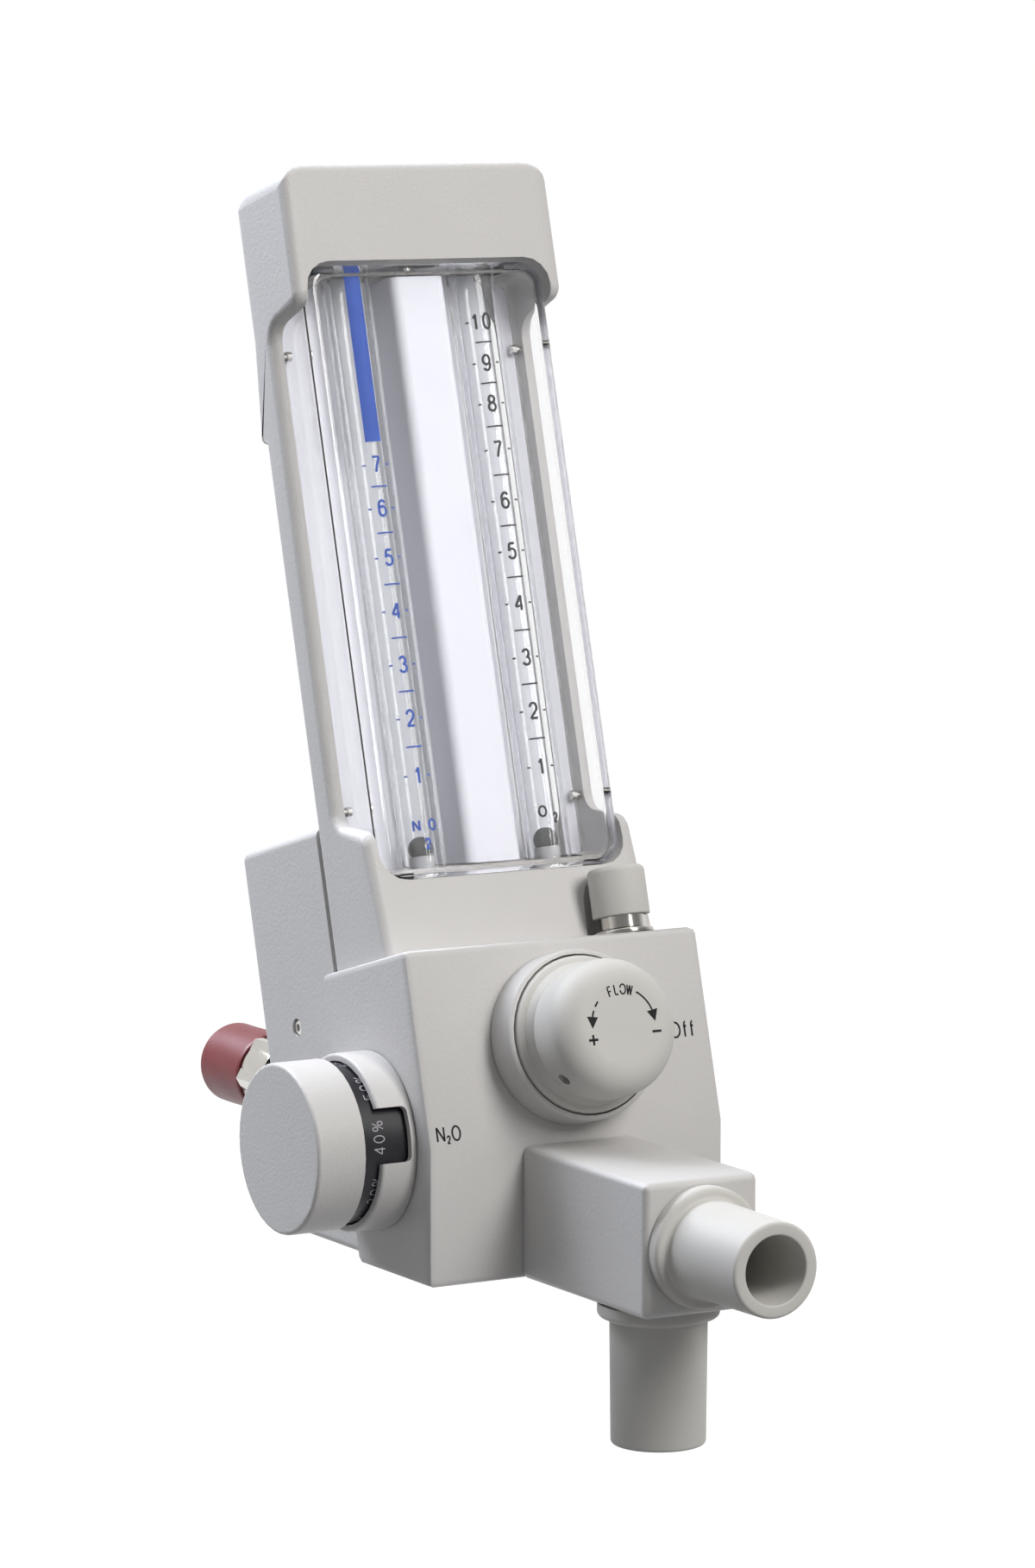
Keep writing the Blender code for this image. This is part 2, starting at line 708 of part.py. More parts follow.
def build_clear_cover(lean, materials):
    """Clear moulded tray that closes the window and its open sides."""
    front = PANEL_FRONT_Y - GAP - CLEAR_DEPTH
    outer = tray_rings(0, front, CLEAR_FRONT_ROUND)
    inner = tray_rings(CLEAR_WALL, front + CLEAR_WALL, CLEAR_FRONT_ROUND - CLEAR_WALL / 2)
    bm = bmesh.new()
    loops = []
    for y, outline in outer + list(reversed(inner)):
        loops.append([bm.verts.new((x, y, z)) for x, z in outline])
    split = len(outer) - 1
    for index, (loop, following) in enumerate(zip(loops, loops[1:])):
        if index == split:
            bm.faces.new(loop)
            bm.faces.new(following)
            continue
        for spot in range(len(loop)):
            after = (spot + 1) % len(loop)
            bm.faces.new((loop[spot], loop[after], following[after], following[spot]))
    for spot in range(len(loops[0])):
        after = (spot + 1) % len(loops[0])
        bm.faces.new((loops[-1][spot], loops[-1][after], loops[0][after], loops[0][spot]))
    cover = add_piece("window_cover", bm, materials["clear_acrylic"], lean)
    reach = TUBE_PITCH / 2 + TUBE_R + GAP
    gate = prism(
        [
            (-reach, TUBE_Y - TUBE_R - GAP),
            (reach, TUBE_Y - TUBE_R - GAP),
            (reach, PANEL_FRONT_Y),
            (-reach, PANEL_FRONT_Y),
        ],
        WINDOW_FLOOR_Z,
        WINDOW_TOP_Z,
        "Z",
    )
    cut(cover, "tube_gate_cutter", gate, lean)
    return cover


def build_cover_screws(frame, cover, lean, materials):
    """Four small screws through the clear cover's sides into the rails."""
    y = PANEL_FRONT_Y - CLEAR_SCREW_STANDOFF
    wall_inside = WINDOW_WIDTH / 2 - GAP - CLEAR_WALL
    tip = WINDOW_WIDTH / 2 + CLEAR_SCREW_BITE
    head_base = wall_inside - GAP
    profile = [
        (0, head_base - CLEAR_SCREW_HEAD),
        (CLEAR_SCREW_HEAD_R, head_base - CLEAR_SCREW_HEAD),
        (CLEAR_SCREW_HEAD_R, head_base),
        (CLEAR_SCREW_R, head_base),
        (CLEAR_SCREW_R, tip),
        (0, tip),
    ]
    places = (
        ("left_top", -1, WINDOW_TOP_Z - CLEAR_SCREW_INSET),
        ("right_top", 1, WINDOW_TOP_Z - CLEAR_SCREW_INSET),
        ("left_foot", -1, WINDOW_FLOOR_Z + CLEAR_SCREW_INSET),
        ("right_foot", 1, WINDOW_FLOOR_Z + CLEAR_SCREW_INSET),
    )
    for name, side, z in places:
        axis = add_empty(
            f"cover_screw_{name}_axis", (0, y, z), (0, side * math.pi / 2, 0), lean
        )
        add_piece(f"cover_screw_{name}", turned(profile, 12), materials["stainless"], axis)
        hole = CLEAR_SCREW_R + GAP / 2
        cut(frame, f"rail_hole_{name}", rod(hole, wall_inside, tip + GAP, 12), axis)
        cut(cover, f"cover_hole_{name}", rod(hole, head_base - GAP, tip, 12), axis)


def build_flow_tube(frame, gas, side, lean, materials):
    """One flow tube with its float ball, foot seat, head stop and two end seals."""
    axis = add_empty(f"{gas}_tube_axis", (side * TUBE_PITCH / 2, TUBE_Y, 0), parent=lean)
    foot = WINDOW_FLOOR_Z - TUBE_SINK
    head = WINDOW_TOP_Z + TUBE_RISE
    tube = turned(
        [
            (TUBE_R, foot),
            (TUBE_R, head),
            (TUBE_BORE_HEAD, head),
            (TUBE_BORE_FOOT, foot),
        ]
    )
    add_piece(f"{gas}_flow_tube", tube, materials["clear_acrylic"], axis)

    spigot = TUBE_BORE_FOOT - RUN_GAP
    plug_top = foot - GAP
    plug_foot = plug_top - PLUG_THICK
    seat = turned(
        [
            (0, plug_foot),
            (PLUG_R, plug_foot),
            (PLUG_R, plug_top),
            (spigot, plug_top),
            (spigot, SEAT_TOP_Z),
            (spigot - GAP, SEAT_TOP_Z),
            (BALL_R / 4, SEAT_TOP_Z - SEAT_CUP),
            (0, SEAT_TOP_Z - SEAT_CUP),
        ],
        SMALL_STEPS,
    )
    add_piece(f"{gas}_tube_seat", seat, materials["white_nylon"], axis)

    stop_foot = WINDOW_TOP_Z + STOP_FALL
    stop_base = head + GAP
    stop_top = stop_base + PLUG_THICK
    stop = turned(
        [
            (0, stop_foot),
            (spigot, stop_foot),
            (spigot, stop_base),
            (PLUG_R, stop_base),
            (PLUG_R, stop_top),
            (0, stop_top),
        ],
        SMALL_STEPS,
    )
    add_piece(f"{gas}_tube_stop", stop, materials["white_nylon"], axis)

    for name, base in (
        (f"{gas}_foot_seal", plug_foot - GAP - SEAL_THICK),
        (f"{gas}_head_seal", stop_top + GAP),
    ):
        ring = turned(
            [
                (PLUG_R, base),
                (PLUG_R, base + SEAL_THICK),
                (SEAL_BORE, base + SEAL_THICK),
                (SEAL_BORE, base),
            ],
            SMALL_STEPS,
        )
        add_piece(name, ring, materials["seal_rubber"], axis)

    ball = bmesh.new()
    bmesh.ops.create_uvsphere(ball, u_segments=16, v_segments=10, radius=BALL_R)
    ball_axis = add_empty(f"{gas}_float_axis", (0, 0, BALL_Z), parent=axis)
    add_piece(f"{gas}_float", ball, materials["black_ceramic"], ball_axis)

    bore = TUBE_R + GAP
    low = plug_foot - GAP - SEAL_THICK - GAP
    high = stop_top + GAP + SEAL_THICK + GAP
    cut(frame, f"{gas}_foot_bore", rod(bore, low, WINDOW_FLOOR_Z + GAP, ROUND_STEPS), axis)
    cut(frame, f"{gas}_head_bore", rod(bore, WINDOW_TOP_Z - GAP, high, ROUND_STEPS), axis)


def block_outline():
    """Side outline of the gas block, Y and Z in the lean frame."""
    foot_front = world_to_lean(CREASE_WORLD_Y, BLOCK_FOOT_WORLD_Z)
    return [
        (BLOCK_FRONT_Y, CREASE_Z),
        (BLOCK_FRONT_Y, BLOCK_TOP_Z),
        (BLOCK_BACK_Y, BLOCK_TOP_Z),
        (BLOCK_BACK_Y, level_z(BLOCK_BACK_Y, BLOCK_FOOT_WORLD_Z)),
        foot_front,
    ]


def build_block(lean, materials):
    """Solid gas block with rounded edges, save the crease and the rear face."""
    half = BLOCK_WIDTH / 2
    bm = prism(block_outline(), -half, half, "X")

    def rounded(middle, edge):
        on_back = middle.y > BLOCK_BACK_Y - BLOCK_EDGE and abs(middle.x) < half + GAP
        both_back = all(abs(v.co.y - BLOCK_BACK_Y) < GAP for v in edge.verts)
        crease = abs(middle.x) < GAP and abs(middle.z - CREASE_Z) < GAP
        return not both_back and not crease and not (on_back and abs(middle.x) < GAP)

    bevel_edges(bm, BLOCK_EDGE, rounded)
    return add_piece("control_block", bm, materials["powder_coat"], lean, smooth=40.0)


def build_frame_screws(frame, block, lean, materials):
    """Two screws that hold the cast frame down on the gas block."""
    y = FRAME_BACK_Y - FRAME_SCREW_STANDOFF
    seat = WINDOW_FLOOR_Z - FRAME_SCREW_SINK
    head_foot = seat + GAP
    tip = BLOCK_TOP_Z - FRAME_SCREW_BITE
    profile = [
        (0, tip),
        (FRAME_SCREW_R, tip),
        (FRAME_SCREW_R, head_foot),
        (FRAME_SCREW_HEAD_R, head_foot),
        (FRAME_SCREW_HEAD_R, head_foot + FRAME_SCREW_HEAD),
        (0, head_foot + FRAME_SCREW_HEAD),
    ]
    hole = FRAME_SCREW_R + GAP
    for name, side in (("left", -1), ("right", 1)):
        axis = add_empty(f"frame_screw_{name}_axis", (side * FRAME_SCREW_X, y, 0), parent=lean)
        add_piece(f"frame_screw_{name}", turned(profile, 12), materials["stainless"], axis)
        cut(frame, f"frame_hole_{name}", rod(hole, FRAME_FLOOR_Z - GAP, seat + GAP), axis)
        well = rod(FRAME_SCREW_HEAD_R + GAP, seat, WINDOW_FLOOR_Z + GAP)
        cut(frame, f"frame_well_{name}", well, axis)
        cut(block, f"block_hole_{name}", rod(hole, tip - GAP, BLOCK_TOP_Z + GAP), axis)


def knob_profile():
    """Half section of the flow knob, height measured from the leaning face."""
    dome = corner_arc(
        KNOB_CAP_R - KNOB_DOME, KNOB_LENGTH - KNOB_DOME, KNOB_DOME, 90, 0, 6
    )
    flange_edge = 1.6 * MM
    flange_top = FLOW_COLLAR_LENGTH + flange_edge
    lip = corner_arc(
        KNOB_FLANGE_R - flange_edge, flange_top - flange_edge, flange_edge, 90, 0, 3
    )
    inside = KNOB_WAIST_R - KNOB_WALL
    roof = KNOB_LENGTH - KNOB_DOME
    hub_top = KNOB_FOOT + KNOB_SOCKET
    bore = STEM_R + GAP
    return (
        [(0, KNOB_LENGTH)]
        + dome
        + [(KNOB_CAP_R, KNOB_WAIST + 3 * MM), (KNOB_WAIST_R, KNOB_WAIST)]
        + lip
        + [
            (KNOB_FLANGE_R, KNOB_FOOT),
            (inside, KNOB_FOOT),
            (inside, roof),
            (KNOB_HUB_R, roof),
            (KNOB_HUB_R, KNOB_FOOT),
            (bore, KNOB_FOOT),
            (bore, hub_top),
            (0, hub_top),
        ]
    )


def build_flow_control(block, flow_axis, materials):
    """Flow knob, its fixed collar, the needle stem, its bonnet and the set screw."""
    collar_edge = corner_arc(
        FLOW_COLLAR_R - FLOW_COLLAR_EDGE,
        FLOW_COLLAR_LENGTH - FLOW_COLLAR_EDGE,
        FLOW_COLLAR_EDGE,
        0,
        90,
        3,
    )
    collar = (
        [(FLOW_COLLAR_BORE, GAP), (FLOW_COLLAR_R, GAP)]
        + collar_edge
        + [(FLOW_COLLAR_BORE, FLOW_COLLAR_LENGTH)]
    )
    add_piece("flow_collar", turned(collar, 40), materials["powder_coat"], flow_axis)

    knob = add_piece("flow_knob", turned(knob_profile(), 40), materials["moulded_grey"], flow_axis)
    screw_axis = add_empty(
        "set_screw_axis",
        (0, 0, SET_SCREW_AT),
        (0, math.pi / 2, SET_SCREW_ANGLE),
        flow_axis,
    )
    hole = rod(SET_SCREW_R + GAP / 2, STEM_R / 2, KNOB_FLANGE_R, 12)
    cut(knob, "set_screw_hole", hole, screw_axis)
    screw_foot = STEM_R + GAP
    screw = rod(SET_SCREW_R, screw_foot, screw_foot + SET_SCREW_LENGTH, 12)
    add_piece("knob_set_screw", screw, materials["stainless"], screw_axis)

    stem_top = KNOB_FOOT + KNOB_SOCKET - GAP
    stem = rod(STEM_R, -STEM_REACH, stem_top)
    add_piece("flow_valve_stem", stem, materials["stainless"], flow_axis)

    stem_hole = STEM_R + RUN_GAP
    bonnet = turned(
        [
            (stem_hole, -BONNET_DEPTH),
            (BONNET_R, -BONNET_DEPTH),
            (BONNET_R, GAP),
            (BONNET_FLANGE_R, GAP),
            (BONNET_FLANGE_R, BONNET_FLANGE),
            (stem_hole, BONNET_FLANGE),
        ],
        24,
    )
    add_piece("flow_valve_bonnet", bonnet, materials["brass"], flow_axis)
    bore = rod(BONNET_R + GAP, -BONNET_DEPTH - GAP, GAP, 24)
    cut(block, "bonnet_bore", bore, flow_axis)
    needle = rod(stem_hole, -STEM_REACH - GAP, -BONNET_DEPTH, SMALL_STEPS)
    cut(block, "needle_bore", needle, flow_axis)


def build_percent_dial(block, dial_axis, materials):
    """Percentage knob with its numbered drum, the notched collar and the mixer spindle."""
    edge = corner_arc(
        DIAL_COLLAR_R - DIAL_COLLAR_EDGE,
        DIAL_COLLAR_LENGTH - DIAL_COLLAR_EDGE,
        DIAL_COLLAR_EDGE,
        0,
        90,
        3,
    )
    ring = (
        [(DIAL_COLLAR_BORE, GAP), (DIAL_COLLAR_R, GAP)]
        + edge
        + [(DIAL_COLLAR_BORE, DIAL_COLLAR_LENGTH)]
    )
    collar = add_piece("percent_collar", turned(ring, 40), materials["powder_coat"], dial_axis)
    notch_axis = add_empty(
        "notch_axis", rotation=(0, 0, DIAL_NOTCH_ANGLE), parent=dial_axis
    )
    half = DIAL_NOTCH_WIDTH / 2
    floor = DIAL_COLLAR_LENGTH - DIAL_NOTCH_DEPTH
    notch = rounded_outline(
        [
            (-half, floor, DIAL_NOTCH_ROUND),
            (half, floor, DIAL_NOTCH_ROUND),
            (half, 2 * DIAL_COLLAR_LENGTH, 0),
            (-half, 2 * DIAL_COLLAR_LENGTH, 0),
        ]
    )
    reach = DIAL_COLLAR_R + DIAL_COLLAR_EDGE
    cut(collar, "notch_cutter", prism(notch, -reach, -DIAL_COLLAR_BORE / 2, "Y"), notch_axis)

    knob_foot = DIAL_COLLAR_LENGTH + DRUM_SLOT
    knob_face = knob_foot + DIAL_KNOB_LENGTH
    inside = DIAL_KNOB_R - DIAL_KNOB_WALL
    roof = knob_face - DIAL_KNOB_WALL
    bore = SPINDLE_R + GAP
    rim = corner_arc(
        DIAL_KNOB_R - DIAL_KNOB_EDGE, knob_face - DIAL_KNOB_EDGE, DIAL_KNOB_EDGE, 90, 0, 3
    )
    knob = turned(
        [(0, knob_face)]
        + rim
        + [
            (DIAL_KNOB_R, knob_foot),
            (inside, knob_foot),
            (inside, roof),
            (DIAL_HUB_R, roof),
            (DIAL_HUB_R, knob_foot + DRUM_WALL),
            (bore, knob_foot + DRUM_WALL),
            (bore, roof),
            (0, roof),
        ],
        40,
    )
    add_piece("percent_knob", knob, materials["powder_coat"], dial_axis)

    drum_foot = GAP + RUN_GAP
    drum_top = knob_foot - GAP
    drum = turned(
        [
            (DRUM_R, drum_foot),
            (DRUM_R, drum_top),
            (inside - GAP, drum_top),
            (inside - GAP, knob_foot + DRUM_WALL - GAP),
            (bore, knob_foot + DRUM_WALL - GAP),
            (bore, drum_top - DRUM_WALL),
            (DRUM_R - DRUM_WALL, drum_top - DRUM_WALL),
            (DRUM_R - DRUM_WALL, drum_foot),
        ],
        40,
    )
    add_piece("percent_drum", drum, materials["black_anodised"], dial_axis)

    spindle = rod(SPINDLE_R, -SPINDLE_REACH, roof - GAP)
    add_piece("mixer_spindle", spindle, materials["stainless"], dial_axis)
    spindle_hole = SPINDLE_R + RUN_GAP
    bush = turned(
        [
            (spindle_hole, -BUSH_LENGTH),
            (BUSH_R, -BUSH_LENGTH),
            (BUSH_R, GAP),
            (spindle_hole, GAP),
        ],
        24,
    )
    add_piece("mixer_bush", bush, materials["brass"], dial_axis)
    cut(block, "bush_bore", rod(BUSH_R + GAP, -BUSH_LENGTH - GAP, 2 * GAP, 24), dial_axis)
    tail = rod(spindle_hole, -SPINDLE_REACH - GAP, -BUSH_LENGTH, SMALL_STEPS)
    cut(block, "spindle_bore", tail, dial_axis)


def spring_coil(radius, wire, low, high, turns):
    """A round-wire coil about Z, its wire's centre between two heights."""
    bm = bmesh.new()
    steps_per_turn = 14
    sides = 6
    count = int(turns * steps_per_turn) + 1
    pitch = (high - low) / (count - 1)
    rings = []
    for step in range(count):
        angle = math.tau * step / steps_per_turn
        outward = Vector((math.cos(angle), math.sin(angle), 0))
        centre = outward * radius + Vector((0, 0, low + pitch * step))
        ring = []
        for side in range(sides):
            turn = math.tau * side / sides
            offset = outward * (wire * math.cos(turn)) + Vector((0, 0, wire * math.sin(turn)))
            ring.append(bm.verts.new(centre + offset))
        rings.append(ring)
    for ring, following in zip(rings, rings[1:]):
        for side in range(sides):
            after = (side + 1) % sides
            bm.faces.new((ring[side], ring[after], following[after], following[side]))
    bm.faces.new(rings[0])
    bm.faces.new(rings[-1])
    return bm


def build_flush_button(block, flush_axis, materials):
    """Sprung flush button with its chromed bezel, height measured from the block's top."""
    bezel_bore = FLUSH_STEM_R + RUN_GAP
    bezel = turned(
        [
            (bezel_bore, -BEZEL_SINK),
            (BEZEL_R, -BEZEL_SINK),
            (BEZEL_R, GAP),
            (BEZEL_FLANGE_R, GAP),
            (BEZEL_FLANGE_R, GAP + BEZEL_FLANGE / 2),
            (BEZEL_R + BEZEL_FLANGE / 2, GAP + BEZEL_FLANGE),
            (BEZEL_R, GAP + BEZEL_FLANGE),
            (BEZEL_R, BEZEL_RISE),
            (bezel_bore, BEZEL_RISE),
        ],
        24,
    )
    add_piece("flush_bezel", bezel, materials["chrome"], flush_axis)

    cap_top = FLUSH_CAP_FOOT + FLUSH_CAP_LENGTH
    cap_roof = cap_top - FLUSH_CAP_TOP
    cap_inside = FLUSH_CAP_R - FLUSH_CAP_WALL
    cap = turned(
        [
            (0, cap_top),
            (FLUSH_CAP_R - FLUSH_CAP_EDGE, cap_top),
            (FLUSH_CAP_R, cap_top - FLUSH_CAP_EDGE),
            (FLUSH_CAP_R, FLUSH_CAP_FOOT),
            (cap_inside, FLUSH_CAP_FOOT),
            (cap_inside, cap_roof),
            (0, cap_roof),
        ],
        24,
    )
    add_piece("flush_button", cap, materials["moulded_grey"], flush_axis)

    stem = rod(FLUSH_STEM_R, -FLUSH_STEM_SINK, cap_roof - GAP)
    add_piece("flush_stem", stem, materials["stainless"], flush_axis)

    spring = spring_coil(
        SPRING_R,
        SPRING_WIRE,
        BEZEL_RISE + FLUSH_TRAVEL + GAP + SPRING_WIRE,
        cap_roof - GAP - SPRING_WIRE,
        SPRING_TURNS,
    )
    add_piece("flush_spring", spring, materials["stainless"], flush_axis)

    cut(block, "bezel_bore", rod(BEZEL_R + GAP, -BEZEL_SINK - GAP, 2 * GAP, 24), flush_axis)
    well_foot = -FLUSH_STEM_SINK - FLUSH_TRAVEL - RUN_GAP
    well = rod(FLUSH_STEM_R + RUN_GAP, well_foot, -BEZEL_SINK)
    cut(block, "flush_stem_bore", well, flush_axis)


def port_profile(length):
    """Half section of an outlet port, its flange on the tee's face at height 0."""
    flange = corner_arc(
        PORT_FLANGE_R - PORT_FLANGE_ROUND,
        PORT_FLANGE - PORT_FLANGE_ROUND,
        PORT_FLANGE_ROUND,
        0,
        90,
        3,
    )
    tip = corner_arc(
        PORT_TIP_R - PORT_TIP_ROUND, length - PORT_TIP_ROUND, PORT_TIP_ROUND, 0, 90, 3
    )
    return (
        [(SPIGOT_R, -SPIGOT_LENGTH), (SPIGOT_R, GAP), (PORT_FLANGE_R, GAP)]
        + flange
        + [(PORT_ROOT_R, PORT_FLANGE)]
        + tip
        + [(PORT_BORE, length), (PORT_BORE, -SPIGOT_LENGTH)]
    )


def build_outlet(block, square, materials):
    """Outlet tee on the block's upright face, with a front and a bottom port."""
    half = TEE_WIDTH / 2
    outline = [
        (-half, 0),
        (half, 0),
        (half, TEE_HEIGHT),
        (-half, TEE_HEIGHT),
    ]
    bm = prism(outline, -TEE_LENGTH, -GAP, "Y")

    def rounded(_middle, edge):
        return any(v.co.y < -TEE_LENGTH / 2 for v in edge.verts)

    bevel_edges(bm, TEE_EDGE, rounded, 3)
    tee = add_piece("outlet_tee", bm, materials["powder_coat"], square)

    front = add_empty("front_port_axis", (0, -TEE_LENGTH, PORT_RISE), (math.pi / 2, 0, 0), square)
    bottom = add_empty("bottom_port_axis", (0, -PORT_BACK, 0), (math.pi, 0, 0), square)
    add_piece(
        "front_port", turned(port_profile(FRONT_PORT_LENGTH)), materials["moulded_grey"], front
    )
    add_piece(
        "bottom_port", turned(port_profile(BOTTOM_PORT_LENGTH)), materials["moulded_grey"], bottom
    )
    socket = SPIGOT_R + GAP
    for name, axis in (("front", front), ("bottom", bottom)):
        cut(tee, f"{name}_socket", rod(socket, -SPIGOT_LENGTH - GAP, GAP, ROUND_STEPS), axis)
    along = rod(PORT_BORE, -TEE_LENGTH + TEE_PASSAGE, -SPIGOT_LENGTH, ROUND_STEPS)
    cut(tee, "tee_bore", along, front)
    drop = rod(PORT_BORE, -PORT_RISE, -SPIGOT_LENGTH, ROUND_STEPS)
    cut(tee, "drop_bore", drop, bottom)
    through = rod(
        OUTLET_PASSAGE_R, -TEE_LENGTH - OUTLET_PASSAGE_DEPTH, -TEE_LENGTH + TEE_PASSAGE + GAP
    )
    cut(tee, "tee_passage", through, front)
    onward = rod(OUTLET_PASSAGE_R, -TEE_LENGTH - OUTLET_PASSAGE_DEPTH, -TEE_LENGTH + GAP)
    cut(block, "block_passage", onward, front)


def build_inlet(block, cover, gas, side, square, materials):
    """One rear inlet: threaded fitting with a hexagon, its pipe and its dust cap."""
    flats = {"n2o": N2O_HEX_FLATS, "o2": O2_HEX_FLATS}[gas]
    thread = {"n2o": N2O_THREAD_R, "o2": O2_THREAD_R}[gas]
    axis = add_empty(
        f"{gas}_inlet_axis", (side * INLET_X, 0, INLET_RISE), (-math.pi / 2, 0, 0), square
    )
    hex_end = INLET_HEX_BACK + INLET_HEX_LENGTH
    tip = hex_end + INLET_THREAD_LENGTH
    crown = flats / 2

    def round_at(radius):
        return lambda angle: radius

    def hexagon(angle):
        return hex_radius(flats, angle)

    sections = [
        (INLET_NECK_BACK, round_at(PIPE_R + GAP)),
        (INLET_NECK_BACK, round_at(INLET_NECK_R)),
        (INLET_HEX_BACK, round_at(INLET_NECK_R)),
        (INLET_HEX_BACK, round_at(crown)),
        (INLET_HEX_BACK + INLET_CHAMFER, hexagon),
        (hex_end - INLET_CHAMFER, hexagon),
        (hex_end, round_at(crown)),
        (hex_end, round_at(thread)),
        (tip - INLET_CHAMFER, round_at(thread)),
        (tip, round_at(thread - INLET_CHAMFER)),
        (tip, round_at(INLET_BORE)),
        (INLET_NECK_BACK + PIPE_SINK, round_at(INLET_BORE)),
        (INLET_NECK_BACK + PIPE_SINK, round_at(PIPE_R + GAP)),
    ]
    fitting = ring_loft(sections, 24)
    add_piece(f"{gas}_inlet_fitting", fitting, materials["chrome"], axis, smooth=25.0)

    cap_foot = hex_end + GAP
    cap_end = cap_foot + CAP_LENGTH
    inside = thread + GAP
    outside = inside + CAP_WALL
    rim = corner_arc(outside - CAP_EDGE, cap_end - CAP_EDGE, CAP_EDGE, 0, 90, 3)
    cap = turned(
        [(0, cap_end - CAP_END), (inside, cap_end - CAP_END), (inside, cap_foot)]
        + [(outside, cap_foot)]
        + rim
        + [(0, cap_end)],
        24,
    )
    add_piece(f"{gas}_dust_cap", cap, materials["red_vinyl"], axis)

    block_back_y, _ = lean_to_world(
        BLOCK_BACK_Y, level_z(BLOCK_BACK_Y, BLOCK_FOOT_WORLD_Z + INLET_RISE)
    )
    pipe_front = block_back_y - CREASE_WORLD_Y - PIPE_SINK
    pipe_back = INLET_NECK_BACK + PIPE_SINK - GAP
    pipe = turned(
        [
            (PIPE_R, pipe_front),
            (PIPE_R, pipe_back),
            (PIPE_BORE, pipe_back),
            (PIPE_BORE, pipe_front),
        ],
        SMALL_STEPS,
    )
    add_piece(f"{gas}_inlet_pipe", pipe, materials["stainless"], axis)

    hole = rod(PIPE_R + GAP, pipe_front - GAP, pipe_front + 4 * PIPE_SINK)
    cut(block, f"{gas}_block_inlet", hole, axis)
    way = rod(INLET_HOLE_R, INLET_NECK_BACK, INLET_HEX_BACK, 24)
    cut(cover, f"{gas}_cover_hole", way, axis)
    return axis


def build_fail_safe(square, inlet_axes, materials):
    """Fail-safe valve body that both inlet pipes pass through."""
    half = FAIL_SAFE_WIDTH / 2
    outline = rounded_rectangle(-half, half, FAIL_SAFE_LOW, FAIL_SAFE_HIGH, 1.5 * MM, 2)
    end = FAIL_SAFE_BACK + FAIL_SAFE_LENGTH
    body = add_piece(
        "fail_safe_valve", prism(outline, FAIL_SAFE_BACK, end, "Y"), materials["brass"], square
    )
    for name, axis in inlet_axes.items():
        hole = rod(PIPE_R + GAP, FAIL_SAFE_BACK - GAP, end + GAP)
        cut(body, f"fail_safe_{name}_hole", hole, axis)


def build_rear_cover(lean, materials):
    """Moulded rear cover, open towards the block and the frame."""
    half = COVER_WIDTH / 2
    foot_world_z = BLOCK_FOOT_WORLD_Z + COVER_FOOT
    outline = [
        (-COVER_DEPTH, COVER_RISE),
        (0, COVER_RISE),
        (0, level_z(0, foot_world_z)),
        (-COVER_DEPTH, level_z(-COVER_DEPTH, foot_world_z)),
    ]
    bm = prism(outline, -half, half, "X")

    def rounded(_middle, edge):
        return not all(abs(v.co.y + COVER_DEPTH) < GAP for v in edge.verts)

    bevel_edges(bm, COVER_EDGE, rounded, 3)
    cover = add_piece("rear_cover", bm, materials["powder_coat"], lean)
    floor_world_z = foot_world_z + COVER_WALL
    open_y = -COVER_DEPTH - COVER_WALL
    inside = [
        (open_y, COVER_RISE - COVER_WALL),
        (-COVER_WALL, COVER_RISE - COVER_WALL),
        (-COVER_WALL, level_z(-COVER_WALL, floor_world_z)),
        (open_y, level_z(open_y, floor_world_z)),
    ]
    inner_half = half - COVER_WALL
    cut(cover, "cover_hollow", prism(inside, -inner_half, inner_half, "X"), lean)
    return cover


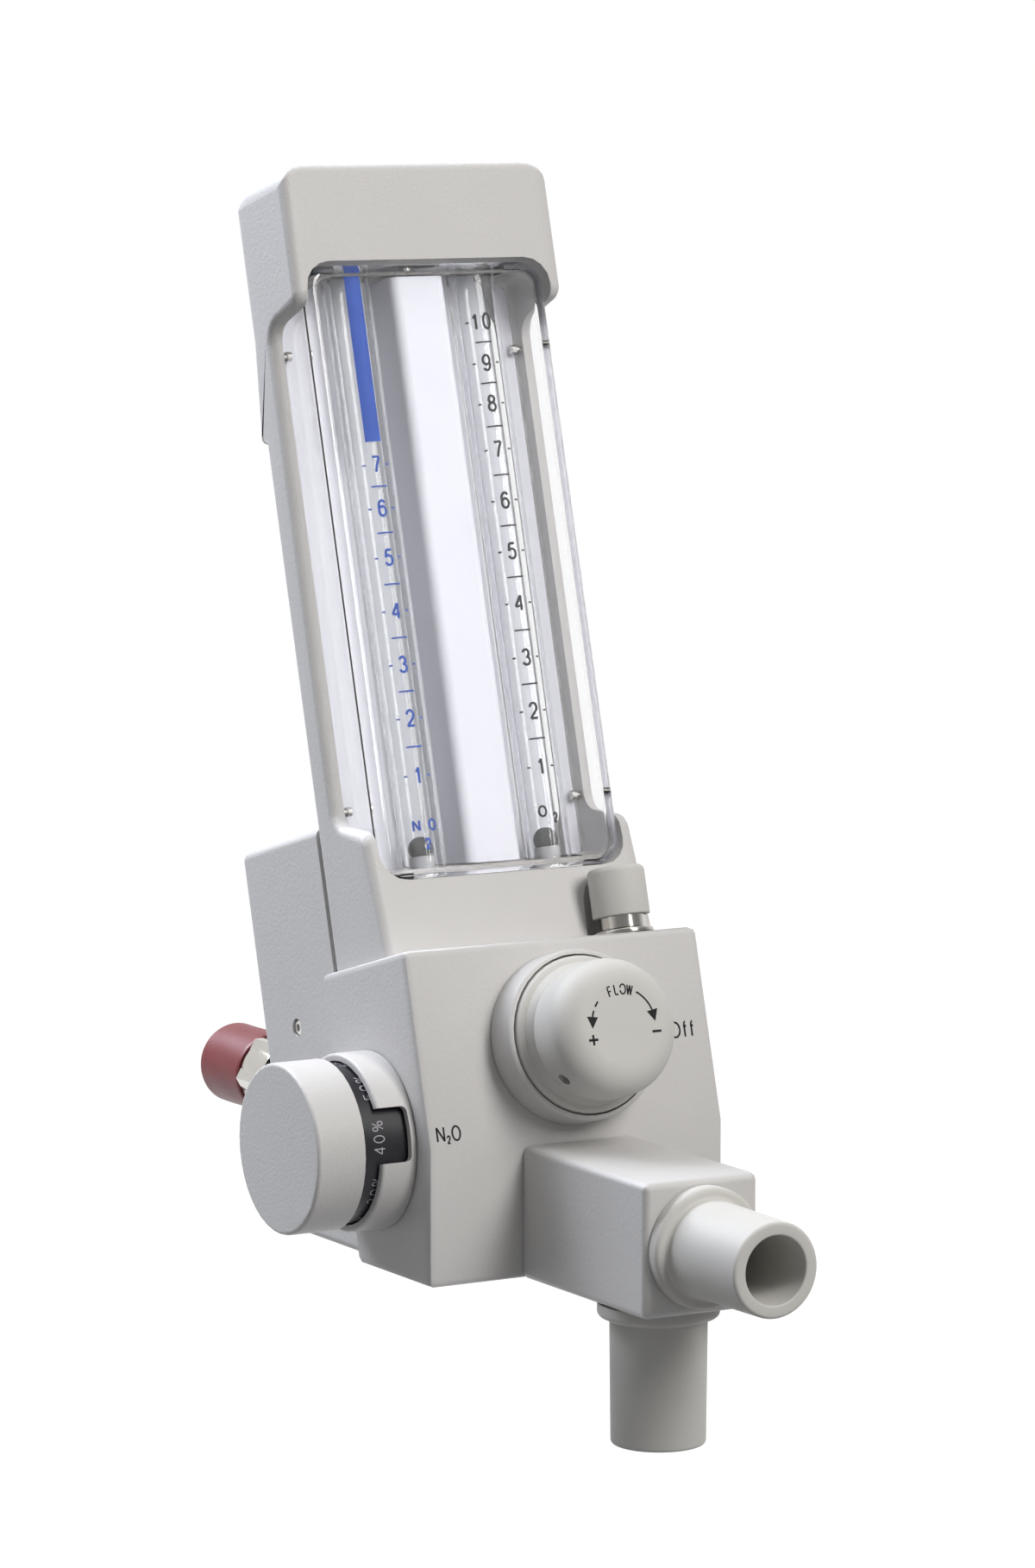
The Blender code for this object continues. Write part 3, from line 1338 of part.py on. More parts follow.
def build_bracket(cover, block, lean, materials):
    """Bent bracket on the block's rear that the rear cover is screwed to."""
    reach = COVER_WIDTH / 2 - COVER_WALL - GAP
    front = -COVER_DEPTH
    back = front + BRACKET_REACH
    leg = reach - BRACKET_THICK
    plate = front + BRACKET_THICK
    outline = [
        (-reach, front),
        (reach, front),
        (reach, back),
        (leg, back),
        (leg, plate),
        (-leg, plate),
        (-leg, back),
        (-reach, back),
    ]
    body = prism(outline, BRACKET_LOW, BRACKET_HIGH, "Z")
    bracket = add_piece("cover_bracket", body, materials["aluminium"], lean)

    sink = COVER_WIDTH / 2 - COVER_SCREW_HEAD
    for name, side in (("left", -1), ("right", 1)):
        axis = add_empty(
            f"cover_side_{name}_axis",
            (0, COVER_SCREW_Y, COVER_SCREW_Z),
            (0, side * math.pi / 2, 0),
            lean,
        )
        screw = turned(
            [
                (0, sink - COVER_SCREW_LENGTH),
                (COVER_SCREW_R, sink - COVER_SCREW_LENGTH),
                (COVER_SCREW_R, sink),
                (COVER_SCREW_HEAD_R, sink),
                (COVER_SCREW_HEAD_R, sink + COVER_SCREW_HEAD - GAP),
                (0, sink + COVER_SCREW_HEAD - GAP),
            ],
            12,
        )
        add_piece(f"cover_side_screw_{name}", screw, materials["stainless"], axis)
        hole = COVER_SCREW_R + GAP / 2
        cut(bracket, f"bracket_side_{name}", rod(hole, leg - GAP, reach + GAP, 12), axis)
        cut(cover, f"cover_side_{name}", rod(hole, reach, sink, 12), axis)
        dish = rod(COVER_SCREW_HEAD_R + GAP, sink - GAP, COVER_WIDTH / 2 + GAP)
        cut(cover, f"cover_dish_{name}", dish, axis)

        axis = add_empty(
            f"bracket_screw_{name}_axis",
            (side * BRACKET_SCREW_X, 0, BRACKET_SCREW_Z),
            (-math.pi / 2, 0, 0),
            lean,
        )
        head = plate + GAP
        tip = BLOCK_BACK_Y - BRACKET_SCREW_BITE
        screw = turned(
            [
                (0, tip),
                (BRACKET_SCREW_R, tip),
                (BRACKET_SCREW_R, head),
                (BRACKET_SCREW_HEAD_R, head),
                (BRACKET_SCREW_HEAD_R, head + BRACKET_SCREW_HEAD),
                (0, head + BRACKET_SCREW_HEAD),
            ],
            12,
        )
        add_piece(f"bracket_screw_{name}", screw, materials["stainless"], axis)
        hole = BRACKET_SCREW_R + GAP / 2
        cut(bracket, f"bracket_hole_{name}", rod(hole, front - GAP, head, 12), axis)
        cut(block, f"bracket_bore_{name}", rod(hole, tip - GAP, BLOCK_BACK_Y + GAP, 12), axis)


def main():
    """Build the whole flowmeter head."""
    clear_scene()
    materials = make_materials()
    lean = add_empty("lean_frame", rotation=(-LEAN, 0, 0))
    square = add_empty("square_frame", (0, CREASE_WORLD_Y, BLOCK_FOOT_WORLD_Z))
    flow_axis = add_empty(
        "flow_axis", (0, BLOCK_FRONT_Y, CREASE_Z + FLOW_RISE), (math.pi / 2, 0, 0), lean
    )
    flush_axis = add_empty(
        "flush_axis", (FLUSH_X, BLOCK_FRONT_Y + FLUSH_SETBACK, BLOCK_TOP_Z), parent=lean
    )
    dial_axis = add_empty(
        "dial_axis", (-BLOCK_WIDTH / 2, DIAL_BACK, DIAL_RISE), (0, -math.pi / 2, 0), square
    )

    frame = build_frame(lean, materials)
    build_flush_pocket(frame, flush_axis)
    build_back_panel(lean, materials)
    build_channel(lean, materials)
    build_return_pipe(frame, lean, materials)
    clear_cover = build_clear_cover(lean, materials)
    build_cover_screws(frame, clear_cover, lean, materials)
    build_flow_tube(frame, "n2o", -1, lean, materials)
    build_flow_tube(frame, "o2", 1, lean, materials)

    block = build_block(lean, materials)
    build_frame_screws(frame, block, lean, materials)
    build_flow_control(block, flow_axis, materials)
    build_percent_dial(block, dial_axis, materials)
    build_flush_button(block, flush_axis, materials)
    build_outlet(block, square, materials)

    rear_cover = build_rear_cover(lean, materials)
    inlet_axes = {
        "n2o": build_inlet(block, rear_cover, "n2o", -1, square, materials),
        "o2": build_inlet(block, rear_cover, "o2", 1, square, materials),
    }
    build_fail_safe(square, inlet_axes, materials)
    build_bracket(rear_cover, block, lean, materials)
    bpy.context.view_layer.update()


main()
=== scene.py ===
"""Dressed model of a leaning two-gas medical flowmeter head.

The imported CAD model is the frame: its casings, knobs and ports keep their shape and get
their finishes here.  Turned, threaded and printed pieces are added as surfaces worked
out with numpy, each riding on the CAD body that carries the real one.
"""

import json
import logging
import math
from dataclasses import dataclass, field
from enum import Enum
from typing import Callable, Sequence

import bmesh
import bpy
import numpy as np
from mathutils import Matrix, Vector


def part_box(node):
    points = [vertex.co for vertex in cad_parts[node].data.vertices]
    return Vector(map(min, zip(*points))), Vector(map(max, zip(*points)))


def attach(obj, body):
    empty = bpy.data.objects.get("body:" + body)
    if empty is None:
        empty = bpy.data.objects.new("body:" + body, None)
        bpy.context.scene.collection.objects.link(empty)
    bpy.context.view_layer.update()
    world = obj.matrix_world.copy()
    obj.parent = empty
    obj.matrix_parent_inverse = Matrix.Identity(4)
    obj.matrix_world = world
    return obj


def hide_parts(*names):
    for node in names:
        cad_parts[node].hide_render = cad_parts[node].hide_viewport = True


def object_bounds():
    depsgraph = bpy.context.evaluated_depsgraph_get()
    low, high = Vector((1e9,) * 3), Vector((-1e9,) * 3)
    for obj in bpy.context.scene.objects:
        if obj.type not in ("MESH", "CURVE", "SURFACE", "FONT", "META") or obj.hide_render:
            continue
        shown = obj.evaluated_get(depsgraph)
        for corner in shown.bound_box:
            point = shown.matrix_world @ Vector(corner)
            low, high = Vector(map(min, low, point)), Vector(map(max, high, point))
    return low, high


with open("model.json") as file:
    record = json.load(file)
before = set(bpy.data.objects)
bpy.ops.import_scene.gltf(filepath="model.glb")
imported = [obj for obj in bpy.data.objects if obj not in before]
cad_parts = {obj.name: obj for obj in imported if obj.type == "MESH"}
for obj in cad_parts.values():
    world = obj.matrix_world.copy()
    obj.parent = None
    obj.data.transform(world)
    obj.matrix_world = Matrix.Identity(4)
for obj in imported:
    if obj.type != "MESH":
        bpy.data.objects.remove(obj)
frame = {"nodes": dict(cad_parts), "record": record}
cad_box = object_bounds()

LOG = logging.getLogger("flowmeter")
MM = 0.001
PRINT_LIFT = 0.03 * MM
RIGHT = np.array([1.0, 0.0, 0.0])
BACK = np.array([0.0, 1.0, 0.0])
UP = np.array([0.0, 0.0, 1.0])


def linear(hex_colour: str) -> tuple[float, float, float, float]:
    """Turn an sRGB hex colour into a linear one.

    Args:
        hex_colour: Six hex digits, with or without a leading hash.

    Returns:
        Linear red, green and blue, and an alpha of 1.
    """
    digits = hex_colour.lstrip("#")
    channels = [int(digits[i : i + 2], 16) / 255 for i in (0, 2, 4)]
    values = [c / 12.92 if c <= 0.04045 else ((c + 0.055) / 1.055) ** 2.4 for c in channels]
    return (*values, 1.0)


def add_node(
    tree: bpy.types.NodeTree, kind: str, settings: dict | None = None, links: dict | None = None
) -> bpy.types.Node:
    """Add a node with its settings and links.

    Args:
        tree: The node tree.
        kind: The node's Blender type name.
        settings: Socket defaults by name or number, or attributes of the node.
        links: Output sockets to join to this node's inputs, by name or number.

    Returns:
        The new node.
    """
    node = tree.nodes.new(kind)
    for key, value in (settings or {}).items():
        if isinstance(key, str) and hasattr(node, key) and key not in node.inputs:
            setattr(node, key, value)
        else:
            node.inputs[key].default_value = value
    for key, socket in (links or {}).items():
        tree.links.new(socket, node.inputs[key])
    return node


def merge(
    tree: bpy.types.NodeTree,
    operation: str,
    first: bpy.types.NodeSocket,
    second: bpy.types.NodeSocket | float,
) -> bpy.types.NodeSocket:
    """Join two values by a math node, the second a socket or a number."""
    fixed = isinstance(second, float)
    settings = {"operation": operation} | ({1: second} if fixed else {})
    links = {0: first} | ({} if fixed else {1: second})
    return add_node(tree, "ShaderNodeMath", settings, links).outputs[0]


class Surface:
    """A Principled material in the making, its textures sized in real millimetres."""

    def __init__(self, name: str) -> None:
        """Start the material under its finish's name."""
        self.material = bpy.data.materials.new(name)
        self.material.use_nodes = True
        self.tree = self.material.node_tree
        self.shader = self.tree.nodes["Principled BSDF"]
        self.output = self.tree.nodes["Material Output"]

    def noise(
        self,
        size_mm: float,
        detail: float = 2.0,
        roughness: float = 0.5,
        stretch: tuple[float, float, float] | None = None,
    ) -> bpy.types.NodeSocket:
        """Noise on Object coordinates.

        Args:
            size_mm: The real size of its grains.
            detail: Layers of finer noise.
            roughness: How strong the finer layers are.
            stretch: Scale along each axis, for drawn or turned lines.

        Returns:
            Its value, about 0 to 1.
        """
        place = add_node(self.tree, "ShaderNodeTexCoord").outputs["Object"]
        if stretch is not None:
            scaled = add_node(self.tree, "ShaderNodeMapping", {"Scale": stretch}, {"Vector": place})
            place = scaled.outputs["Vector"]
        settings = {"Scale": 1 / (size_mm * MM), "Detail": detail, "Roughness": roughness}
        node = add_node(self.tree, "ShaderNodeTexNoise", settings, {"Vector": place})
        return node.outputs["Fac"]

    def relief(self, height: bpy.types.NodeSocket, depth_mm: float, strength: float) -> None:
        """Give the surface a relief of a real depth."""
        settings = {"Strength": strength, "Distance": depth_mm * MM}
        bump = add_node(self.tree, "ShaderNodeBump", settings, {"Height": height})
        self.tree.links.new(bump.outputs["Normal"], self.shader.inputs["Normal"])

    def tone(self, share: bpy.types.NodeSocket, first: str, second: str) -> None:
        """Colour the surface between two hex colours."""
        mix = add_node(self.tree, "ShaderNodeMix", {"data_type": "RGBA"}, {"Factor": share})
        mix.inputs["A"].default_value = linear(first)
        mix.inputs["B"].default_value = linear(second)
        self.tree.links.new(mix.outputs["Result"], self.shader.inputs["Base Color"])

    def gloss(self, share: bpy.types.NodeSocket, low: float, high: float) -> None:
        """Vary the surface's roughness between two values."""
        settings = {"To Min": low, "To Max": high}
        spread = add_node(self.tree, "ShaderNodeMapRange", settings, {"Value": share})
        self.tree.links.new(spread.outputs["Result"], self.shader.inputs["Roughness"])

    def mix_into(
        self, share: bpy.types.NodeSocket, first: bpy.types.NodeSocket, second: bpy.types.NodeSocket
    ) -> None:
        """Show a mix of two shaders."""
        mixed = add_node(self.tree, "ShaderNodeMixShader", {}, {0: share, 1: first, 2: second})
        self.tree.links.new(mixed.outputs[0], self.output.inputs["Surface"])

    def finished(self, values: dict) -> bpy.types.Material:
        """Set uniform shader values by socket name, and return the material."""
        for name, value in values.items():
            self.shader.inputs[name].default_value = value
        return self.material


@dataclass(frozen=True)
class PowderCoat:
    """Polyester powder sprayed on cast metal and baked: an even satin skin whose melted
    grains leave a fine orange peel, and a faint cloudiness in tone."""

    name: str = "baked_powder_coat"
    colour: str = "#C8C6C4"
    cloud: str = "#C3C1BF"
    cloud_mm: float = 18.0
    grain_mm: float = 0.85
    fine_share: float = 0.3
    peel_mm: float = 0.2
    roughness: float = 0.46
    sheen: float = 0.38

    def build(self) -> bpy.types.Material:
        """Return the material."""
        skin = Surface(self.name)
        grain = skin.noise(self.grain_mm, roughness=0.45)
        fine = skin.noise(self.grain_mm / 2.3, 1.0)
        settings = {"data_type": "FLOAT", "Factor": self.fine_share}
        height = add_node(skin.tree, "ShaderNodeMix", settings, {"A": grain, "B": fine})
        skin.relief(height.outputs["Result"], self.peel_mm, 0.55)
        skin.tone(skin.noise(self.cloud_mm, 3.0), self.colour, self.cloud)
        skin.gloss(grain, self.roughness - 0.05, self.roughness + 0.07)
        return skin.finished({"Specular IOR Level": self.sheen})


@dataclass(frozen=True)
class MouldedPlastic:
    """Plastic or enamel that is smooth from the tool or the oven, so it takes a soft sheen
    with only slight flow unevenness in colour and gloss."""

    name: str
    colour: str
    flow: str
    roughness: float = 0.3
    texture_mm: float = 0.9
    peel_mm: float = 0.012
    sheen: float = 0.35
    flow_mm: float = 12.0

    def build(self) -> bpy.types.Material:
        """Return the material."""
        skin = Surface(self.name)
        flow = skin.noise(self.flow_mm)
        skin.tone(flow, self.colour, self.flow)
        skin.relief(skin.noise(self.texture_mm), self.peel_mm, 0.4)
        skin.gloss(flow, self.roughness - 0.04, self.roughness + 0.06)
        return skin.finished({"Specular IOR Level": self.sheen})


@dataclass(frozen=True)
class MachinedMetal:
    """Turned, drawn or plated metal: fine tool lines break up the reflection, and handling
    leaves its gloss uneven.  The lines are drawn wider than real, so that they show."""

    name: str
    colour: str
    roughness: float = 0.25
    ring_mm: float = 0.3
    depth_mm: float = 0.004
    smear_mm: float = 4.0
    stretch: tuple[float, float, float] = (1.0, 0.12, 1.0)

    def build(self) -> bpy.types.Material:
        """Return the material."""
        skin = Surface(self.name)
        low, high = max(self.roughness - 0.1, 0.03), self.roughness + 0.12
        skin.gloss(skin.noise(self.smear_mm), low, high)
        skin.relief(skin.noise(self.ring_mm, stretch=self.stretch), self.depth_mm, 0.35)
        return skin.finished({"Base Color": linear(self.colour), "Metallic": 1.0})


@dataclass(frozen=True)
class ClearPlastic:
    """Cast acrylic or glass tube, polished: clear, with a gloss that varies faintly where
    it was formed.  Lamps reach what is behind it, a little dimmed, through the
    Transparent shader."""

    name: str
    colour: str
    ior: float = 1.49
    shade: str = "#EAEAEA"
    roughness: float = 0.015
    wave_mm: float = 9.0

    def build(self) -> bpy.types.Material:
        """Return the material."""
        skin = Surface(self.name)
        skin.gloss(skin.noise(self.wave_mm, 1.0), self.roughness * 0.6, self.roughness * 1.4)
        path = add_node(skin.tree, "ShaderNodeLightPath")
        through = add_node(skin.tree, "ShaderNodeBsdfTransparent")
        through.inputs["Color"].default_value = linear(self.shade)
        skin.mix_into(path.outputs["Is Shadow Ray"], skin.shader.outputs[0], through.outputs[0])
        return skin.finished(
            {"Base Color": linear(self.colour), "Transmission Weight": 1.0, "IOR": self.ior}
        )


@dataclass(frozen=True)
class SoftVinyl:
    """Dipped PVC: a soft dark skin with a low sheen, slightly uneven where it cooled."""

    name: str
    colour: str
    deep: str
    roughness: float = 0.42
    ripple_mm: float = 3.5
    ripple_depth_mm: float = 0.05

    def build(self) -> bpy.types.Material:
        """Return the material."""
        skin = Surface(self.name)
        ripple = skin.noise(self.ripple_mm, 3.0)
        skin.tone(ripple, self.colour, self.deep)
        skin.relief(ripple, self.ripple_depth_mm, 0.5)
        return skin.finished(
            {"Roughness": self.roughness, "Subsurface Weight": 0.05, "Subsurface Scale": 1 * MM}
        )


@dataclass(frozen=True)
class PadInk:
    """Pad-printed ink: a thin matt film, a little thinner in places."""

    name: str
    colour: str
    thin: str
    roughness: float = 0.55
    film_mm: float = 1.2
    sheen: float = 0.15

    def build(self) -> bpy.types.Material:
        """Return the material."""
        skin = Surface(self.name)
        skin.tone(skin.noise(self.film_mm, 3.0), self.colour, self.thin)
        return skin.finished({"Roughness": self.roughness, "Specular IOR Level": self.sheen})


class Finish(Enum):
    """The finishes on this head, each with what it is made of."""

    POWDER = PowderCoat()
    GREY_PLASTIC = MouldedPlastic("moulded_grey_abs", "#C8C6C1", "#C3C1BC", 0.5, 0.9, 0.012, 0.2)
    ENAMEL = MouldedPlastic("white_enamelled_sheet", "#CDCED6", "#C8C9D2", 0.65, 1.5, 0.006, 0.1)
    NYLON = MouldedPlastic("grey_acetal", "#A9A9AD", "#A0A0A5", 0.4)
    DRUM = MouldedPlastic("black_anodised_drum", "#19181C", "#211F25", 0.38, 0.5)
    CERAMIC = MouldedPlastic("black_ceramic_ball", "#0B0B0C", "#121214", 0.12, 1.0, 0.001, 0.6)
    RUBBER = MouldedPlastic("black_rubber", "#1C1C1C", "#242423", 0.75, 0.4, 0.03)
    STEEL = MachinedMetal("turned_stainless_steel", "#CBC9C6", 0.24)
    CHROME = MachinedMetal("nickel_plated_brass", "#C2BFB9", 0.16, 0.5, 0.002)
    BRASS = MachinedMetal("machined_brass", "#C9A45A", 0.28)
    ALUMINIUM = MachinedMetal("bent_aluminium_sheet", "#D0D1D3", 0.38, 0.6)
    ACRYLIC = ClearPlastic("clear_moulded_acrylic", "#FFFFFF")
    GLASS = ClearPlastic("clear_bored_tube", "#FDFEFE", 1.47, "#EAEAEA", 0.03)
    VINYL = SoftVinyl("dipped_red_vinyl", "#7C1F27", "#6A1920")
    BLACK_INK = PadInk("black_pad_ink", "#1B1B1D", "#232326")
    BLUE_INK = PadInk("blue_pad_ink", "#1A3F93", "#20479A")
    PALE_INK = PadInk("pale_engraved_ink", "#B9B7BE", "#A5A3AA")


_MADE: dict[Finish, bpy.types.Material] = {}


def material_of(finish: Finish) -> bpy.types.Material:
    """Return the material of a finish, made once."""
    if finish not in _MADE:
        _MADE[finish] = finish.value.build()
    return _MADE[finish]


SLOT_OF = {
    Finish.POWDER: "powder_coat",
    Finish.GREY_PLASTIC: "moulded_grey",
    Finish.ENAMEL: "white_enamel",
    Finish.NYLON: "white_nylon",
    Finish.DRUM: "black_anodised",
    Finish.CERAMIC: "black_ceramic",
    Finish.RUBBER: "seal_rubber",
    Finish.STEEL: "stainless",
    Finish.CHROME: "chrome",
    Finish.BRASS: "brass",
    Finish.ALUMINIUM: "aluminium",
    Finish.ACRYLIC: "clear_acrylic",
    Finish.GLASS: "clear_acrylic",
    Finish.VINYL: "red_vinyl",
    Finish.BLACK_INK: "black_anodised",
    Finish.BLUE_INK: "black_anodised",
    Finish.PALE_INK: "white_enamel",
}


@dataclass(frozen=True)
class Stance:
    """How the head stands: its lean, and where the block's front crease and foot are."""

    lean: float = math.radians(15.4)
    face_y: float = -80.6 * MM
    crease_z: float = -40.0 * MM
    block_drop: float = 32.4 * MM

    @property
    def up(self) -> np.ndarray:
        """Direction up along the lean."""
        return np.array([0.0, math.sin(self.lean), math.cos(self.lean)])

    @property
    def out(self) -> np.ndarray:
        """Direction out of the leaning front face."""
        return np.array([0.0, -math.cos(self.lean), math.sin(self.lean)])

    def leaning(self, x: float, rise: float, proud: float) -> np.ndarray:
        """World point from x, the rise up the front face from the crease, and how far it
        stands proud of that face."""
        return x * RIGHT + self.up * (self.crease_z + rise) + self.out * (proud - self.face_y)

    def upright(self, x: float, back: float, height: float) -> np.ndarray:
        """World point from x, the distance behind the block's upright front face, and the
        height above the block's foot."""
        crease = self.leaning(0.0, 0.0, 0.0)
        return np.array([x, crease[1] + back, crease[2] - self.block_drop + height])

    def on_face(self, flat: np.ndarray, rise: float = 0.0, proud: float = 0.0) -> np.ndarray:
        """World points of a flat print (x, y, lift) on the leaning face, or proud of it."""
        base = self.leaning(0.0, rise, proud)
        return base + flat[:, :1] * RIGHT + flat[:, 1:2] * self.up + flat[:, 2:] * self.out


STANCE = Stance()


@dataclass(frozen=True)
class Axis:
    """A turning axis: its origin, its direction, and the direction of angle 0."""

    origin: np.ndarray
    along: np.ndarray
    zero: np.ndarray

    def place(self, radius: np.ndarray, angle: np.ndarray, height: np.ndarray) -> np.ndarray:
        """World points of cylinder coordinates: the origin, plus the height along the axis,
        plus the radius turned by the angle from the zero direction.

        Args:
            radius: Distances from the axis.
            angle: Angles in radians, right-handed about the axis.
            height: Heights along the axis.

        Returns:
            An array of points with one more dimension than the arguments.
        """
        across = np.cross(self.along, self.zero)
        radius, angle, height = np.broadcast_arrays(radius, angle, height)
        arm = (
            np.cos(angle)[..., None] * self.zero + np.sin(angle)[..., None] * across
        ) * radius[..., None]
        return self.origin + arm + height[..., None] * self.along


def linked(name: str, data: bpy.types.ID) -> bpy.types.Object:
    """Put a mesh, lamp or camera into the scene as a new object."""
    obj = bpy.data.objects.new(name, data)
    bpy.context.scene.collection.objects.link(obj)
    return obj


def link_mesh(
    name: str, points: np.ndarray, faces: Sequence, sharp: float = 35.0
) -> bpy.types.Object:
    """Put points and faces into a new object with smooth shading and sharp edges.

    Args:
        name: The piece's name.
        points: An array of points.
        faces: Lists of point numbers.
        sharp: Edges that turn more than this many degrees stay sharp.

    Returns:
        The new object.
    """
    mesh = bpy.data.meshes.new(name)
    mesh.from_pydata(points.reshape(-1, 3).tolist(), [], faces)
    bm = bmesh.new()
    bm.from_mesh(mesh)
    bmesh.ops.remove_doubles(bm, verts=bm.verts, dist=1e-7)
    bmesh.ops.recalc_face_normals(bm, faces=bm.faces)
    bm.to_mesh(mesh)
    bm.free()
    mesh.shade_smooth()
    mesh.set_sharp_from_angle(angle=math.radians(sharp))
    return linked(name, mesh)


def grid_faces(rows: int, columns: int, closed_rows: bool) -> list[list[int]]:
    """Quads of a grid of points that closes round its columns.

    Args:
        rows: Number of rows.
        columns: Number of points in each row.
        closed_rows: Whether the last row joins the first.

    Returns:
        Lists of four point numbers.
    """
    row = np.arange(rows if closed_rows else rows - 1)
    column = np.arange(columns)
    r, c = np.meshgrid(row, column, indexing="ij")
    here, next_row = r * columns, (r + 1) % rows * columns
    after = (c + 1) % columns
    quads = np.stack([here + c, here + after, next_row + after, next_row + c], axis=-1)
    return quads.reshape(-1, 4).tolist()


def revolve(
    name: str,
    axis: Axis,
    profile: Sequence[tuple[float, float]],
    steps: int = 72,
    radius_at: Callable[[np.ndarray, np.ndarray, np.ndarray], np.ndarray] | None = None,
    sharp: float = 35.0,
) -> bpy.types.Object:
    """Turn a profile about an axis: point (i, j) is profile point i at angle j.

    Args:
        name: The piece's name.
        axis: The turning axis.
        profile: (radius, height) points; off the axis at both ends it is a closed ring.
        steps: Points round the axis.
        radius_at: Optional change of the radii, from radius, angle and height arrays.
        sharp: Sharp-edge angle in degrees.

    Returns:
        The new object.
    """
    outline = np.array(profile, dtype=float)
    angle = np.linspace(0, math.tau, steps, endpoint=False)
    radius = np.repeat(outline[:, :1], steps, axis=1)
    height = np.repeat(outline[:, 1:], steps, axis=1)
    turn = np.repeat(angle[None, :], len(outline), axis=0)
    if radius_at is not None:
        radius = radius_at(radius, turn, height)
    points = axis.place(radius, turn, height)
    ring = outline[0, 0] > 0 and outline[-1, 0] > 0
    return link_mesh(name, points, grid_faces(len(outline), steps, ring), sharp)


def arc(r0: float, h0: float, radius: float, start: float, end: float, steps: int = 6) -> list:
    """Profile points round an arc: centre plus radius at angles from start to end degrees."""
    angles = np.radians(np.linspace(start, end, steps + 1))
    return [(r0 + radius * math.cos(a), h0 + radius * math.sin(a)) for a in angles]


def finish_piece(
    obj: bpy.types.Object, body: str, finish: Finish, replaces: Sequence[str] = ()
) -> bpy.types.Object:
    """Give a new piece its material, its body and the CAD nodes it stands for.

    Args:
        obj: The piece.
        body: The CAD body it rides on.
        finish: Its finish.
        replaces: CAD nodes it replaces.

    Returns:
        The piece.
    """
    obj.data.materials.clear()
    obj.data.materials.append(material_of(finish))
    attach(obj, body)
    if replaces:
        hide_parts(*replaces)
    LOG.info("%s rides on %s in %s", obj.name, body, material_of(finish).name)
    return obj


def smoothing_group(limit: float) -> bpy.types.NodeTree:
    """Geometry nodes that weld a CAD node's loose triangles and shade it smooth, with
    edges that turn more than a limit left sharp.

    Args:
        limit: The angle in degrees.

    Returns:
        The node group.
    """
    tree = bpy.data.node_groups.new(f"weld_and_smooth_{limit:.0f}", "GeometryNodeTree")
    tree.interface.new_socket("Geometry", in_out="INPUT", socket_type="NodeSocketGeometry")
    tree.interface.new_socket("Geometry", in_out="OUTPUT", socket_type="NodeSocketGeometry")
    start = add_node(tree, "NodeGroupInput")
    weld = add_node(
        tree, "GeometryNodeMergeByDistance", {"Distance": 2e-6}, {"Geometry": start.outputs[0]}
    )
    smooth = add_node(
        tree, "GeometryNodeSetShadeSmooth", {"Shade Smooth": True}, {"Geometry": weld.outputs[0]}
    )
    angle = add_node(tree, "GeometryNodeInputMeshEdgeAngle")
    steep = add_node(
        tree,
        "FunctionNodeCompare",
        {"data_type": "FLOAT", "operation": "GREATER_THAN"},
        {0: angle.outputs["Unsigned Angle"]},
    )
    steep.inputs[1].default_value = math.radians(limit)
    edges = tree.nodes.new("GeometryNodeSetShadeSmooth")
    edges.domain = "EDGE"
    edges.inputs["Shade Smooth"].default_value = False
    tree.links.new(smooth.outputs["Geometry"], edges.inputs["Geometry"])
    tree.links.new(steep.outputs["Result"], edges.inputs["Selection"])
    end = add_node(tree, "NodeGroupOutput")
    tree.links.new(edges.outputs["Geometry"], end.inputs[0])
    return tree


@dataclass
class CastAndMouldedCases:
    """The CAD nodes that keep their shape: castings, covers, blocks and inner pieces."""

    smooth_limit: float = 32.0
    flat_weight: int = 80

    def dress(self) -> None:
        """Give every CAD node its finish and a smoothly shaded, welded surface."""
        group = smoothing_group(self.smooth_limit)
        # The first finish named for a slot is the one its CAD nodes take.
        finishes = {slot: finish for finish, slot in reversed(SLOT_OF.items())}
        slots = {e["node"]: e["material_slot"] for e in frame["record"]["subparts"]}
        for name, node in frame["nodes"].items():
            mesh = node.data
            if "custom_normal" in mesh.attributes:
                mesh.attributes.remove(mesh.attributes["custom_normal"])
            mesh.materials.clear()
            mesh.materials.append(material_of(finishes[slots[name]]))
            modifier = node.modifiers.new("weld_and_smooth", "NODES")
            modifier.node_group = group
            weighted = node.modifiers.new("flat_faces_stay_flat", "WEIGHTED_NORMAL")
            weighted.keep_sharp = True
            weighted.weight = self.flat_weight
            LOG.info("%s in %s", name, mesh.materials[0].name)


def oval(
    x: float, y: float, wide: float, high: float, start: float = 0.0, end: float = 360.0
) -> np.ndarray:
    """Centre line along an oval: its centre plus its half sizes at angles in degrees."""
    angle = np.radians(np.linspace(start, end, 25))
    return np.stack([x + wide * np.cos(angle), y + high * np.sin(angle)], axis=-1)


def line(*points: tuple[float, float]) -> np.ndarray:
    """Centre line through points."""
    return np.array(points, dtype=float)


